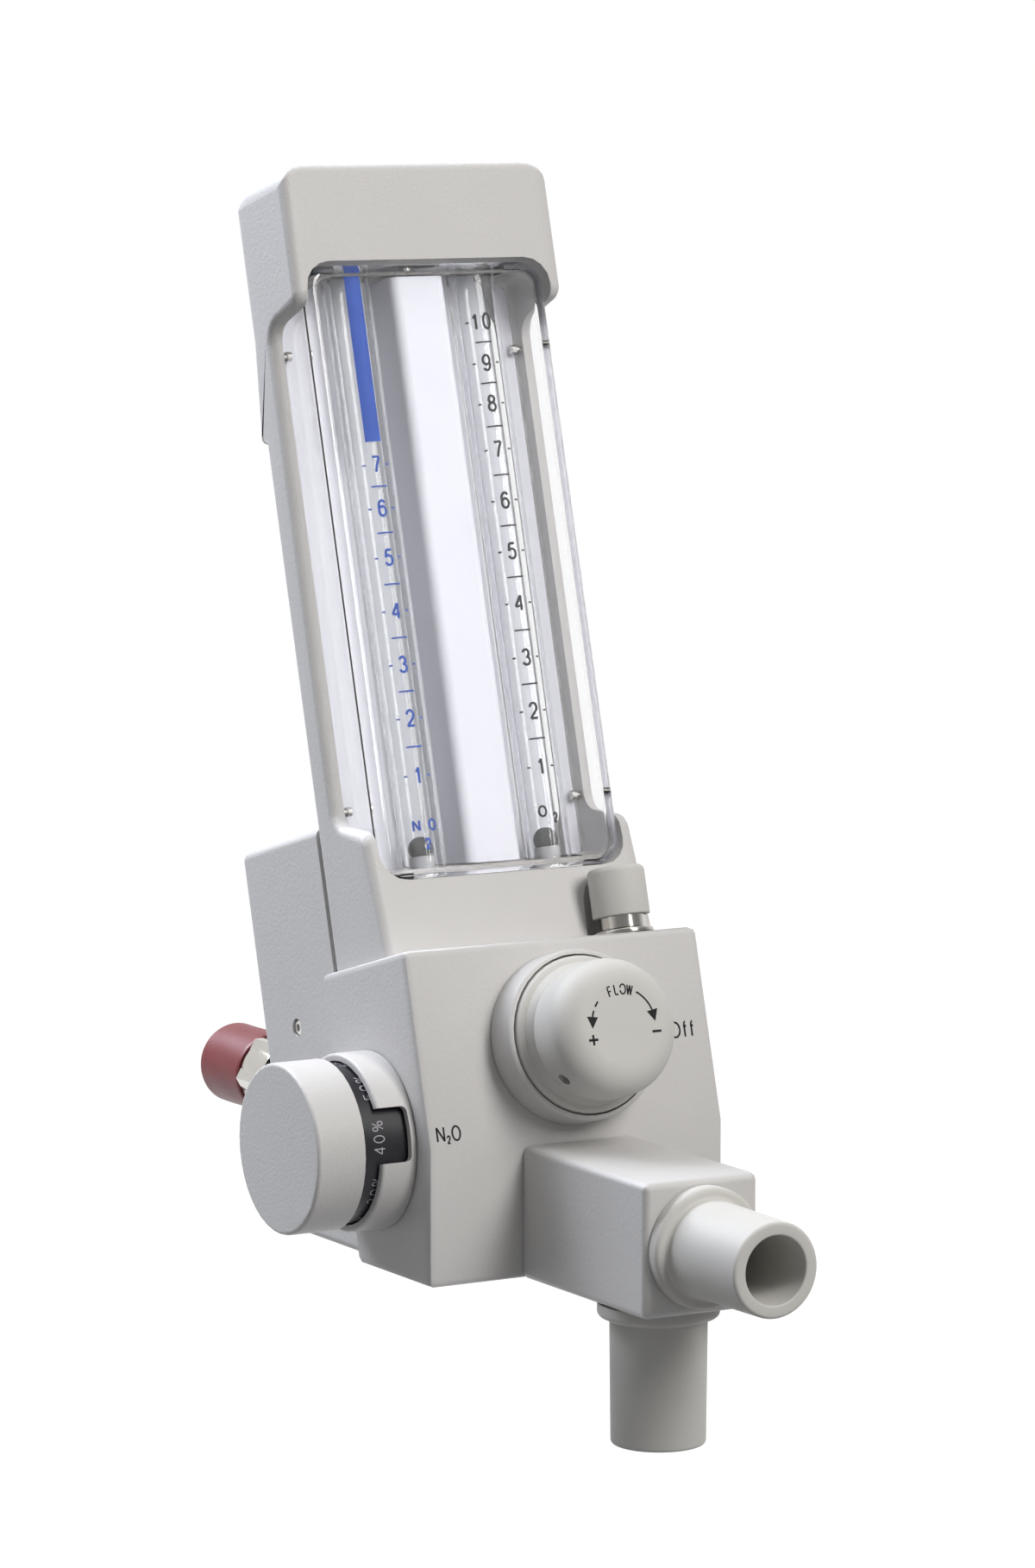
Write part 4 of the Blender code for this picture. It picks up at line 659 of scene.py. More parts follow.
# Each letter: its width as a share of its height, and the centre lines of its strokes in
# a box one wide and one high.
LETTERS: dict[str, tuple[float, list[np.ndarray]]] = {
    "0": (0.54, [oval(0.5, 0.5, 0.5, 0.5)]),
    "1": (
        0.54,
        [line((0.2, 0.77), (0.42, 0.81), (0.55, 0.9), (0.6, 1.0)), line((0.6, 1), (0.6, 0))],
    ),
    "2": (
        0.54,
        [
            oval(0.5, 0.7, 0.47, 0.3, 172, -38),
            line((0.87, 0.52), (0.02, 0)),
            line((0, 0), (1, 0)),
        ],
    ),
    "3": (
        0.54,
        [oval(0.47, 0.755, 0.41, 0.245, 165, -90), oval(0.47, 0.26, 0.48, 0.26, 90, -165)],
    ),
    "4": (
        0.56,
        [line((0.76, 0), (0.76, 1)), line((0.76, 1), (0, 0.28)), line((0, 0.28), (1, 0.28))],
    ),
    "5": (
        0.54,
        [
            line((0.93, 1), (0.2, 1)),
            line((0.2, 1), (0.08, 0.5)),
            oval(0.47, 0.32, 0.5, 0.32, 142, -158),
        ],
    ),
    "6": (0.54, [oval(0.5, 0.31, 0.48, 0.31), oval(0.52, 0.6, 0.5, 0.4, 38, 190)]),
    "7": (0.54, [line((0, 1), (1, 1)), line((0.98, 0.98), (0.62, 0.55), (0.45, 0.25), (0.36, 0))]),
    "8": (0.54, [oval(0.5, 0.765, 0.4, 0.235), oval(0.5, 0.27, 0.49, 0.27)]),
    "9": (0.54, [oval(0.5, 0.69, 0.48, 0.31), oval(0.48, 0.4, 0.5, 0.4, 10, -142)]),
    "N": (0.68, [line((0, 0), (0, 1)), line((0, 1), (1, 0)), line((1, 0), (1, 1))]),
    "O": (0.76, [oval(0.5, 0.5, 0.5, 0.5)]),
    "F": (0.5, [line((0, 0), (0, 1)), line((0, 1), (1, 1)), line((0, 0.52), (0.86, 0.52))]),
    "L": (0.5, [line((0, 1), (0, 0)), line((0, 0), (1, 0))]),
    "W": (
        0.74,
        [
            line((0, 1), (0.25, 0)),
            line((0.25, 0), (0.5, 1)),
            line((0.5, 1), (0.75, 0)),
            line((0.75, 0), (1, 1)),
        ],
    ),
    "f": (
        0.34,
        [
            oval(0.8, 0.8, 0.48, 0.2, 90, 180),
            line((0.32, 0.8), (0.32, 0)),
            line((0, 0.7), (0.9, 0.7)),
        ],
    ),
    "%": (
        0.72,
        [oval(0.2, 0.76, 0.2, 0.24), oval(0.8, 0.24, 0.2, 0.24), line((0.82, 1), (0.18, 0))],
    ),
}


def resampled(points: np.ndarray, step: float) -> np.ndarray:
    """A centre line with points no further apart than a step along it."""
    lengths = np.linalg.norm(np.diff(points, axis=0), axis=1)
    along = np.concatenate([[0.0], np.cumsum(lengths)])
    count = max(int(math.ceil(along[-1] / step)), 1)
    places = np.union1d(np.linspace(0, along[-1], count + 1), along)
    return np.stack([np.interp(places, along, points[:, i]) for i in (0, 1)], axis=-1)


@dataclass
class Lettering:
    """A flat print made of strokes of even width, laid on a surface as a thin film."""

    step: float = 0.3 * MM
    strokes: list[tuple[np.ndarray, np.ndarray]] = field(default_factory=list)

    def stroke(self, points: np.ndarray, start: float, end: float | None = None) -> None:
        """Add a stroke along a centre line, of one width or tapering to another."""
        path = resampled(np.asarray(points, dtype=float), self.step)
        share = np.linspace(0, 1, len(path))
        last = start if end is None else end
        self.strokes.append((path, (start + (last - start) * share) / 2))

    def word(
        self,
        text: str,
        height: float,
        centre: tuple[float, float],
        weight: float,
        turn: float = 0.0,
        squeeze: float = 1.0,
        space: float = 0.2,
    ) -> None:
        """Write a word centred on a point.

        Args:
            text: The characters.
            height: Height of a capital, in metres.
            centre: The middle of the word.
            weight: Stroke width, in metres.
            turn: Turn about the centre, in degrees.
            squeeze: Width as a share of the letter's own.
            space: Space between letters as a share of the height.
        """
        widths = [LETTERS[c][0] * height * squeeze for c in text]
        total = sum(widths) + space * height * (len(text) - 1)
        cosine, sine = math.cos(math.radians(turn)), math.sin(math.radians(turn))
        spin = np.array([[cosine, sine], [-sine, cosine]])
        left = -total / 2
        for character, width in zip(text, widths):
            for shape in LETTERS[character][1]:
                inner = np.array([width, height]) - weight
                flat = shape * inner + weight / 2 + np.array([left, -height / 2])
                self.stroke(flat @ spin + np.array(centre), weight)
            left += width + space * height

    def film(self, name: str, place: Callable[[np.ndarray], np.ndarray]) -> bpy.types.Object:
        """Make the print: each stroke is a ribbon whose two edges stand half its width to
        either side of its centre line, with mitred bends.

        Args:
            name: The piece's name.
            place: Turns an array of (x, y, lift) into world points, right-handed, so that
                the film faces out.

        Returns:
            The new object.
        """
        flats, faces, base = [], [], 0
        for path, half in self.strokes:
            ahead = np.diff(path, axis=0)
            ahead /= np.linalg.norm(ahead, axis=1, keepdims=True)
            before = np.concatenate([ahead[:1], ahead])
            after = np.concatenate([ahead, ahead[-1:]])
            if np.allclose(path[0], path[-1]):
                before[0], after[-1] = ahead[-1], ahead[0]
            middle = before + after
            middle /= np.linalg.norm(middle, axis=1, keepdims=True)
            reach = half / np.clip(np.sum(middle * after, axis=1), 0.6, 1.0)
            side = np.stack([-middle[:, 1], middle[:, 0]], axis=-1) * reach[:, None]
            count = len(path)
            flats.append(np.concatenate([path - side, path + side]))
            row = np.arange(count - 1) + base
            faces.append(np.stack([row, row + 1, row + 1 + count, row + count], axis=-1))
            base += 2 * count
        flat = np.concatenate(flats)
        points = place(np.column_stack([flat, np.full(len(flat), PRINT_LIFT)]))
        mesh = bpy.data.meshes.new(name)
        mesh.from_pydata(points.tolist(), [], np.concatenate(faces).tolist())
        return linked(name, mesh)


@dataclass
class FlowTube:
    """One bored flow tube with its float ball and its printed scale.

    Rises are measured up the lean from the block's front crease.
    """

    gas: str
    ink: Finish
    marks: Sequence[tuple[str, float]]
    sign: Sequence[tuple[str, float, float, float]]
    sign_rise: float
    print_turn: float
    band: tuple[float, float] | None = None
    outer: float = 5.75 * MM
    bore_foot: float = 3.3 * MM
    bore_head: float = 3.6 * MM
    ball: float = 3.0 * MM
    digit: float = 4.25 * MM
    weight: float = 0.6 * MM
    dash: float = 0.85 * MM
    dash_at: float = 2.95 * MM
    line: float = 3.9 * MM
    rule: float = 0.4 * MM
    band_half: float = 1.95 * MM
    lip: float = 0.3 * MM
    wide_mark: float = 0.5 * MM

    def axis(self) -> Axis:
        """The tube's axis, from its foot's middle, with angle 0 out of the front."""
        low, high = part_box(f"{self.gas}_flow_tube")
        middle = np.array((low + high) / 2)
        return Axis(middle, STANCE.up, STANCE.out)

    def build_tube(self) -> None:
        """Make the bored tube: a ring profile turned about the tube's axis."""
        axis = self.axis()
        low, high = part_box(f"{self.gas}_flow_tube")
        across = 2 * self.outer * math.sin(STANCE.lean)
        half = (high.z - low.z - across) / 2 / math.cos(STANCE.lean)
        profile = [
            (self.bore_foot, -half),
            (self.outer - self.lip, -half),
            (self.outer, -half + self.lip),
            (self.outer, half - self.lip),
            (self.outer - self.lip, half),
            (self.bore_head, half),
        ]
        tube = revolve(f"{self.gas}_tube_glass", axis, profile, 96)
        finish_piece(tube, "head", Finish.GLASS, [f"{self.gas}_flow_tube"])

    def build_ball(self) -> None:
        """Make the float: a half circle turned about the tube's axis."""
        low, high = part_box(f"{self.gas}_float")
        axis = Axis(np.array((low + high) / 2), STANCE.up, STANCE.out)
        ball = revolve(f"{self.gas}_float_ball", axis, arc(0, 0, self.ball, -90, 90, 28), 56)
        finish_piece(ball, f"{self.gas}_ball", Finish.CERAMIC, [f"{self.gas}_float"])

    def build_scale(self) -> None:
        """Print the numbers, their dashes and the lines between them round the tube."""
        ink = Lettering(step=0.25 * MM)
        for words, rise in self.marks:
            ink.word(words, self.digit, (0, rise), self.weight, space=0.14)
            reach = self.dash_at + (self.wide_mark if len(words) > 1 else 0)
            for side in (-1, 1):
                near, far = side * reach - self.dash / 2, side * reach + self.dash / 2
                ink.stroke(line((near, rise), (far, rise)), self.rule)
        rises = [rise for _, rise in self.marks]
        for above, below in zip(rises, rises[1:]):
            middle = (above + below) / 2
            ink.stroke(line((-self.line / 2, middle), (self.line / 2, middle)), self.rule)
        for sign, x, drop, height in self.sign:
            ink.word(sign, height, (x, self.sign_rise - drop), self.weight * 0.85)
        if self.band is not None:
            low, high = self.band
            middle = (low + high) / 2
            ink.stroke(line((-self.band_half, middle), (self.band_half, middle)), high - low)
        finish_piece(ink.film(f"{self.gas}_tube_scale", self.on_tube), "head", self.ink)

    def on_tube(self, flat: np.ndarray) -> np.ndarray:
        """World points of a flat print: x goes round the tube, y up it, lift off it."""
        low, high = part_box(f"{self.gas}_flow_tube")
        middle = np.array((low + high) / 2)
        foot = middle - STANCE.up * (np.dot(middle, STANCE.up) - STANCE.crease_z)
        axis = Axis(foot, STANCE.up, STANCE.out)
        angle = flat[:, 0] / self.outer + self.print_turn
        return axis.place(self.outer + flat[:, 2], angle, flat[:, 1])


@dataclass
class KnobPrint:
    """The print on the flow knob's face: a word on an arc, two arrows and two signs."""

    rise: float = 22.3 * MM
    face: float = 27.0 * MM
    radius: float = 8.35 * MM
    letter: float = 2.6 * MM
    letter_sink: float = 0.2 * MM
    letter_turn: float = 0.7
    squeeze: float = 0.92
    pitch: float = 12.4
    weight: float = 0.36 * MM
    rule: float = 0.42 * MM
    arrows: Sequence[tuple[int, float, float]] = ((-1, 36.0, 92.0), (1, 31.0, 89.0))
    head_turn: float = 18.5
    head_width: float = 2.9 * MM
    head_tip: float = 0.02 * MM
    plus_at: tuple[float, float] = (-8.5 * MM, -2.9 * MM)
    minus_at: tuple[float, float] = (8.4 * MM, -2.2 * MM)
    sign: float = 2.4 * MM
    sign_weight: float = 0.55 * MM

    def build(self) -> None:
        """Lay the word, the arrows and the signs on the face."""
        ink = Lettering(step=0.5 * MM)
        for number, letter in enumerate("FLOW"):
            turn = (1.5 - number) * self.pitch
            spot = self.at_turn(-turn, self.radius - self.letter_sink)
            turned = turn * self.letter_turn
            ink.word(letter, self.letter, spot, self.weight, turned, self.squeeze)
        for side, start, tip in self.arrows:
            shaft = tip - self.head_turn
            turns = np.linspace(start, shaft, 12)
            ink.stroke(np.array([self.at_turn(side * t, self.radius) for t in turns]), self.rule)
            head = [self.at_turn(side * t, self.radius) for t in (shaft, tip)]
            ink.stroke(np.array(head), self.head_width, self.head_tip)
        half = self.sign / 2
        for spot, upright in ((self.plus_at, True), (self.minus_at, False)):
            x, y = spot
            ink.stroke(line((x - half, y), (x + half, y)), self.sign_weight)
            if upright:
                ink.stroke(line((x, y - half), (x, y + half)), self.sign_weight)
        finish_piece(ink.film("flow_knob_print", self.on_face), "flow_knob", Finish.BLACK_INK)

    def at_turn(self, turn: float, radius: float) -> tuple[float, float]:
        """A point on the face, at a turn in degrees clockwise from the top."""
        return radius * math.sin(math.radians(turn)), radius * math.cos(math.radians(turn))

    def on_face(self, flat: np.ndarray) -> np.ndarray:
        """World points of a flat print on the knob's flat face."""
        return STANCE.on_face(flat, self.rise, self.face)


@dataclass
class BlockPrint:
    """The word at the flow knob's right and the gas sign at the block's left edge."""

    off_at: tuple[float, float] = (31.5 * MM, 22.0 * MM)
    off_letter: float = 3.996 * MM
    gas_at: tuple[float, float] = (-34.1 * MM, 3.3 * MM)
    letter: float = 3.7 * MM
    weight: float = 0.46 * MM
    # Each letter of the gas sign: its place, then shares of height, weight and width.
    gas_sign: Sequence[tuple[str, float, float, float, float, float]] = (
        ("N", -2.1 * MM, 0.0, 1.0, 1.0, 0.9),
        ("2", -0.1 * MM, -1.35 * MM, 0.55, 0.8, 1.0),
        ("O", 2.0 * MM, 0.0, 1.0, 1.0, 0.9),
    )

    def build(self) -> None:
        """Lay both prints on the leaning face."""
        ink = Lettering(step=1.0 * MM)
        ink.word("Off", self.off_letter, self.off_at, self.weight, space=0.14)
        x, y = self.gas_at
        for letter, right, up, high, bold, squeeze in self.gas_sign:
            spot = (x + right, y + up)
            ink.word(letter, self.letter * high, spot, self.weight * bold, squeeze=squeeze)
        film = ink.film("control_block_print", STANCE.on_face)
        finish_piece(film, "head", Finish.BLACK_INK)


@dataclass
class DialPrint:
    """The percentages engraved round the dial's drum, read upwards in the notch."""

    radius: float = 18.6 * MM
    back: float = 26.5 * MM
    height: float = 30.7 * MM
    line_x: float = -48.1 * MM
    letter: float = 2.9 * MM
    weight: float = 0.24 * MM
    at_notch: int = 40
    notch_turn: float = 12.5
    step_turn: float = 40.0
    percents: Sequence[int] = (0, 10, 20, 30, 40, 50, 60, 70)

    def build(self) -> None:
        """Engrave each percentage at its turn round the drum."""
        ink = Lettering(step=0.4 * MM)
        for percent in self.percents:
            turn = self.notch_turn + (percent - self.at_notch) / 10 * self.step_turn
            along = math.radians(turn) * self.radius
            ink.word(f"{percent}%", self.letter, (along, 0), self.weight, squeeze=1.15, space=0.3)
        film = ink.film("percent_drum_numbers", self.on_drum)
        finish_piece(film, "percent_dial", Finish.PALE_INK)

    def on_drum(self, flat: np.ndarray) -> np.ndarray:
        """World points of a flat print: x goes up round the drum from its front, and the
        letters' tops point away from the block."""
        axis = Axis(STANCE.upright(0.0, self.back, self.height), -RIGHT, -BACK)
        angle = flat[:, 0] / self.radius
        return axis.place(self.radius + flat[:, 2], angle, flat[:, 1] - self.line_x)


@dataclass
class ClearTray:
    """The clear cover: a moulded tray with a flat front, rounded corners and an open back.

    Its end walls are gated so that they pass in front of the tubes.
    """

    half_width: float = 32.7 * MM
    low: float = 24.3 * MM
    high: float = 171.0 * MM
    corner: float = 6.2 * MM
    back: float = 34.5 * MM
    gate: float = 20.95 * MM
    front: float = 17.4 * MM
    wall: float = 2.0 * MM
    outer_round: float = 2.6 * MM
    inner_round: float = 1.6 * MM
    gate_reach: float = 23.05 * MM
    corner_steps: int = 10
    round_steps: int = 8

    def outline(self, inset: float) -> np.ndarray:
        """Points (x, z) round the tray, drawn in by an inset: a quarter circle at each
        corner, and pairs of points at the gates' ends."""
        radius = self.corner - inset
        turn = np.radians(np.linspace(0, 90, self.corner_steps + 1))
        wide = self.half_width - inset - radius
        low, high = self.low + inset, self.high - inset
        top, foot = high - radius, low + radius
        parts = []
        for quarter, (x, z) in enumerate(((wide, top), (-wide, top), (-wide, foot), (wide, foot))):
            angle = turn + quarter * math.pi / 2
            arm = np.stack([np.cos(angle), np.sin(angle)], axis=-1)
            parts.append(np.array([x, z]) + radius * arm)
            if quarter % 2 == 0:
                reach, edge = (self.gate_reach, high) if quarter == 0 else (-self.gate_reach, low)
                parts.append(np.array([[reach, edge]] * 2 + [[-reach, edge]] * 2))
        return np.concatenate(parts)

    def rings(self, inset: float, front: float, rounding: float) -> list[np.ndarray]:
        """Rings (x, depth, z) of one side of the wall, from the open back, where the gates
        draw it forward, through the gate's depth, to the rounded rim of the flat front."""
        outline = self.outline(inset)
        depth = np.full(len(outline), self.back)
        first = self.corner_steps + 1
        for start in (first, 3 * first + 4):
            depth[start + 1 : start + 3] = self.gate
        levels = [(outline, depth), (outline, np.full(len(outline), self.gate))]
        for angle in np.linspace(0, math.pi / 2, self.round_steps + 1):
            drawn = self.outline(inset + rounding * (1 - math.cos(angle)))
            level = front + rounding * (1 - math.sin(angle))
            levels.append((drawn, np.full(len(drawn), level)))
        return [np.stack([drawn[:, 0], level, drawn[:, 1]], axis=-1) for drawn, level in levels]

    def build(self) -> None:
        """Join the outside rings to the inside rings and close both flat fronts."""
        outer = self.rings(0.0, self.front, self.outer_round)
        inner = self.rings(self.wall, self.front + self.wall, self.inner_round)
        grid = np.array(outer[::-1] + inner)
        rows, columns = grid.shape[:2]
        x, depth, z = (grid[..., i, None] for i in range(3))
        points = x * RIGHT + z * STANCE.up + (-STANCE.face_y - depth) * STANCE.out
        faces = grid_faces(rows, columns, False)
        faces.append(list(range(columns)))
        faces.append([(rows - 1) * columns + i for i in range(columns)])
        tray = link_mesh("window_cover_clear", points, faces, 40.0)
        finish_piece(tray, "head", Finish.ACRYLIC, ["window_cover"])


@dataclass
class FlushButton:
    """The sprung button's smooth cap and its plated bezel."""

    x: float = 24.7 * MM
    rise: float = 46.0 * MM
    setback: float = 9.0 * MM
    cap: float = 6.8 * MM
    cap_foot: float = 4.5 * MM
    cap_top: float = 16.3 * MM
    cap_roof: float = 13.7 * MM
    cap_wall: float = 1.0 * MM
    cap_round: float = 1.5 * MM
    bezel: float = 5.4 * MM
    bezel_flange: float = 7.2 * MM
    bezel_rise: float = 5.8 * MM
    bezel_sink: float = 8.0 * MM
    bezel_bore: float = 2.9 * MM
    bezel_rim: float = 0.5 * MM
    bezel_edge: float = 0.4 * MM
    flange_height: float = 1.0 * MM
    clearance: float = 0.3 * MM

    def build(self) -> None:
        """Turn the cap and the bezel about the button's axis."""
        axis = Axis(STANCE.leaning(self.x, self.rise, -self.setback), STANCE.up, RIGHT)
        lip, soft, inside = 0.3 * MM, self.cap_round, self.cap - self.cap_wall
        cap = (
            [(0.0, self.cap_roof), (inside, self.cap_roof), (inside, self.cap_foot)]
            + arc(self.cap - lip, self.cap_foot + lip, lip, -90, 0, 3)
            + arc(self.cap - soft, self.cap_top - soft, soft, 0, 90, 8)
            + [(0.0, self.cap_top)]
        )
        piece = revolve("flush_button_cap", axis, cap, 72)
        finish_piece(piece, "flush", Finish.GREY_PLASTIC, ["flush_button"])
        top, rim, edge = self.clearance + self.flange_height, self.bezel_rim, self.bezel_edge
        bezel = (
            [(self.bezel_bore, -self.bezel_sink), (self.bezel, -self.bezel_sink)]
            + [(self.bezel, self.clearance), (self.bezel_flange, self.clearance)]
            + arc(self.bezel_flange - rim, top - rim, rim, 0, 90, 4)
            + [(self.bezel + lip, top), (self.bezel, top + lip)]
            + [(self.bezel, self.bezel_rise - edge), (self.bezel - edge, self.bezel_rise)]
            + [(self.bezel_bore, self.bezel_rise)]
        )
        piece = revolve("flush_bezel_turned", axis, bezel, 72, sharp=28.0)
        finish_piece(piece, "head", Finish.CHROME, ["flush_bezel"])


@dataclass
class OutletPorts:
    """The two tapered outlet ports of the tee, turned with filleted flanges."""

    root: float = 11.2 * MM
    tip: float = 10.9 * MM
    bore: float = 7.85 * MM
    flange: float = 14.0 * MM
    flange_length: float = 3.6 * MM
    spigot: float = 9.6 * MM
    spigot_length: float = 5.0 * MM
    clearance: float = 0.3 * MM
    tee_length: float = 54.0 * MM
    rise: float = 15.6 * MM
    back: float = 35.5 * MM
    front_length: float = 31.0 * MM
    bottom_length: float = 33.0 * MM
    fillet: float = 1.0 * MM
    rim: float = 1.3 * MM
    lip: float = 0.9 * MM

    def profile(self, length: float) -> list[tuple[float, float]]:
        """Half section: spigot, flange with a rounded rim and a fillet into the taper,
        rounded mouth, then the bore."""
        fillet, rim, lip = self.fillet, self.rim, self.lip
        return (
            [(self.spigot, -self.spigot_length), (self.spigot, self.clearance)]
            + [(self.flange, self.clearance)]
            + arc(self.flange - rim, self.flange_length - rim, rim, 0, 90)
            + arc(self.root + fillet, self.flange_length + fillet, fillet, 270, 180)
            + arc(self.tip - lip, length - lip, lip, 0, 90)
            + arc(self.bore + lip / 2, length - lip / 2, lip / 2, 90, 180)
            + [(self.bore, -self.spigot_length)]
        )

    def build(self) -> None:
        """Turn both ports about their own axes."""
        front = Axis(STANCE.upright(0.0, -self.tee_length, self.rise), -BACK, UP)
        bottom = Axis(STANCE.upright(0.0, -self.back, 0.0), -UP, RIGHT)
        for node, axis, length in (
            ("front_port", front, self.front_length),
            ("bottom_port", bottom, self.bottom_length),
        ):
            port = revolve(f"{node}_turned", axis, self.profile(length), 96)
            finish_piece(port, "head", Finish.GREY_PLASTIC, [node])


@dataclass
class GasInlet:
    """One rear inlet fitting, with its hexagon and thread, and its dipped dust cap."""

    gas: str
    side: int
    flats: float
    thread: float
    x: float = 27.0 * MM
    rise: float = 34.0 * MM
    neck_back: float = 74.0 * MM
    hex_back: float = 89.1 * MM
    hex_length: float = 10.9 * MM
    thread_length: float = 17.0 * MM
    neck: float = 6.6 * MM
    bore: float = 3.0 * MM
    pipe: float = 4.3 * MM
    pipe_sink: float = 5.0 * MM
    pitch: float = 1.4 * MM
    thread_depth: float = 0.75 * MM
    cap_wall: float = 0.8 * MM
    cap_end: float = 1.6 * MM
    cap_length: float = 20.2 * MM
    cap_soft: float = 1.0 * MM
    cap_wave: float = 0.05 * MM
    chamfer: float = 0.7 * MM
    clearance: float = 0.3 * MM

    @property
    def hex_end(self) -> float:
        """Where the hexagon ends and the thread starts."""
        return self.hex_back + self.hex_length

    def axis(self) -> Axis:
        """The inlet's axis, pointing back."""
        return Axis(STANCE.upright(self.side * self.x, 0.0, self.rise), BACK, RIGHT)

    def shape(self, radius: np.ndarray, turn: np.ndarray, height: np.ndarray) -> np.ndarray:
        """Radii of the fitting: a hexagon's side distance where it is hexagonal, and a
        triangle wave that climbs one pitch a turn on the thread.

        Args:
            radius: The turned profile's radii.
            turn: Angles round the axis.
            height: Distances along it.

        Returns:
            The changed radii.
        """
        hex_end = self.hex_end
        side = self.flats / 2 / np.cos(np.mod(turn, math.pi / 3) - math.pi / 6)
        on_hex = (height > self.hex_back + 1e-6) & (height < hex_end - 1e-6) & (radius > self.neck)
        wave = np.abs(np.mod(height / self.pitch - turn / math.tau, 1.0) - 0.5) * 2
        start, end = hex_end + 1.5 * MM, hex_end + self.thread_length - 1.0 * MM
        fade_in = np.clip((height - start) / self.pitch, 0, 1)
        fade = fade_in * np.clip((end - height) / self.pitch, 0, 1)
        on_thread = (height > hex_end) & (radius > self.thread - 1e-5)
        cut = np.where(on_thread, self.thread_depth * wave * fade, 0.0)
        return np.where(on_hex, np.minimum(side, radius), radius) - cut

    def build(self) -> None:
        """Turn the fitting and the cap."""
        hex_end, chamfer = self.hex_end, self.chamfer
        tip = hex_end + self.thread_length
        corner = self.flats / 2 / math.cos(math.pi / 6)
        rows = np.linspace(hex_end + 0.02 * MM, tip - chamfer, 150)
        profile = (
            [(self.pipe, self.neck_back), (self.neck, self.neck_back), (self.neck, self.hex_back)]
            + [(self.flats / 2, self.hex_back)]
            + [(corner, self.hex_back + chamfer), (corner, hex_end - chamfer)]
            + [(self.flats / 2, hex_end)]
            + [(self.thread, float(row)) for row in rows]
            + [(self.thread - chamfer, tip), (self.bore, tip)]
            + [(self.bore, self.neck_back + self.pipe_sink)]
            + [(self.pipe, self.neck_back + self.pipe_sink)]
        )
        fitting = revolve(f"{self.gas}_inlet_threaded", self.axis(), profile, 72, self.shape, 28.0)
        finish_piece(fitting, "head", Finish.CHROME, [f"{self.gas}_inlet_fitting"])
        self.build_cap()

    def build_cap(self) -> None:
        """Turn the dipped cap, its outside a little uneven and its end softly rounded."""
        foot = self.hex_end + self.clearance
        end = foot + self.cap_length
        inside = self.thread + self.clearance
        outside = inside + self.cap_wall
        soft = self.cap_soft
        rows = np.linspace(foot + 0.4 * MM, end - soft, 24)
        profile = (
            [(0.0, end - self.cap_end), (inside, end - self.cap_end), (inside, foot)]
            + [(outside - 0.25 * MM, foot)]
            + [(outside, float(row)) for row in rows]
            + arc(outside - soft, end - soft, soft, 8, 90)
            + [(0.0, end)]
        )

        def dipped(radius: np.ndarray, turn: np.ndarray, height: np.ndarray) -> np.ndarray:
            """Radii drawn in by slow waves round and along the cap, outside only."""
            wave = np.sin(3 * turn + 260 * height) + np.sin(5 * turn - 420 * height)
            outer = radius > inside + 0.1 * MM
            return radius - np.where(outer, self.cap_wave * (1 + wave / 2), 0.0)

        cap = revolve(f"{self.gas}_cap_dipped", self.axis(), profile, 72, dipped, 40.0)
        finish_piece(cap, f"{self.gas}_cap", Finish.VINYL, [f"{self.gas}_dust_cap"])


@dataclass
class SocketScrews:
    """The rear cover's side screws, each with a domed head and a six-sided socket."""

    case_half: float = 36.2 * MM
    head_radius: float = 1.9 * MM
    head: float = 1.1 * MM
    sunk: float = 0.3 * MM
    shank: float = 1.3 * MM
    shank_length: float = 6.0 * MM
    socket: float = 1.0 * MM

    def hex_socket(self, radius: np.ndarray, turn: np.ndarray, height: np.ndarray) -> np.ndarray:
        """Radii with the socket's wall drawn to a hexagon's side distance."""
        half_turn = math.pi / 6
        side = self.socket / np.cos(np.mod(turn, 2 * half_turn) - half_turn) * math.cos(half_turn)
        return np.where(np.isclose(radius, self.socket), side, radius)

    def profile(self) -> list[tuple[float, float]]:
        """Half section: shank, underside, domed head, then the socket's wall and floor."""
        base = self.case_half - self.head
        head = self.head - self.sunk
        dome, top, floor = head * 0.45, base + head, base + head * 0.25
        return [
            (0.0, base - self.shank_length),
            (self.shank, base - self.shank_length),
            (self.shank, base),
            (self.head_radius, base),
            (self.head_radius, top - dome),
            (self.head_radius * 0.86, top - dome * 0.3),
            (self.head_radius * 0.7, top),
            (self.socket, top),
            (self.socket, floor),
            (0.0, floor),
        ]

    def build(self) -> None:
        """Place the rear cover's two side screws."""
        for node, side in (("cover_side_screw_left", -1), ("cover_side_screw_right", 1)):
            low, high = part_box(node)
            middle = np.array((low + high) / 2)
            axis = Axis(np.array([0.0, middle[1], middle[2]]), side * RIGHT, STANCE.up)
            screw = revolve(f"{node}_socket", axis, self.profile(), 36, self.hex_socket, 30.0)
            finish_piece(screw, "head", Finish.STEEL, [node])


@dataclass(frozen=True)
class Softbox:
    """A rectangular soft lamp: its place, its width and height, its watts and its colour."""

    name: str
    spot: tuple[float, float, float]
    size: tuple[float, float]
    power: float
    colour: str


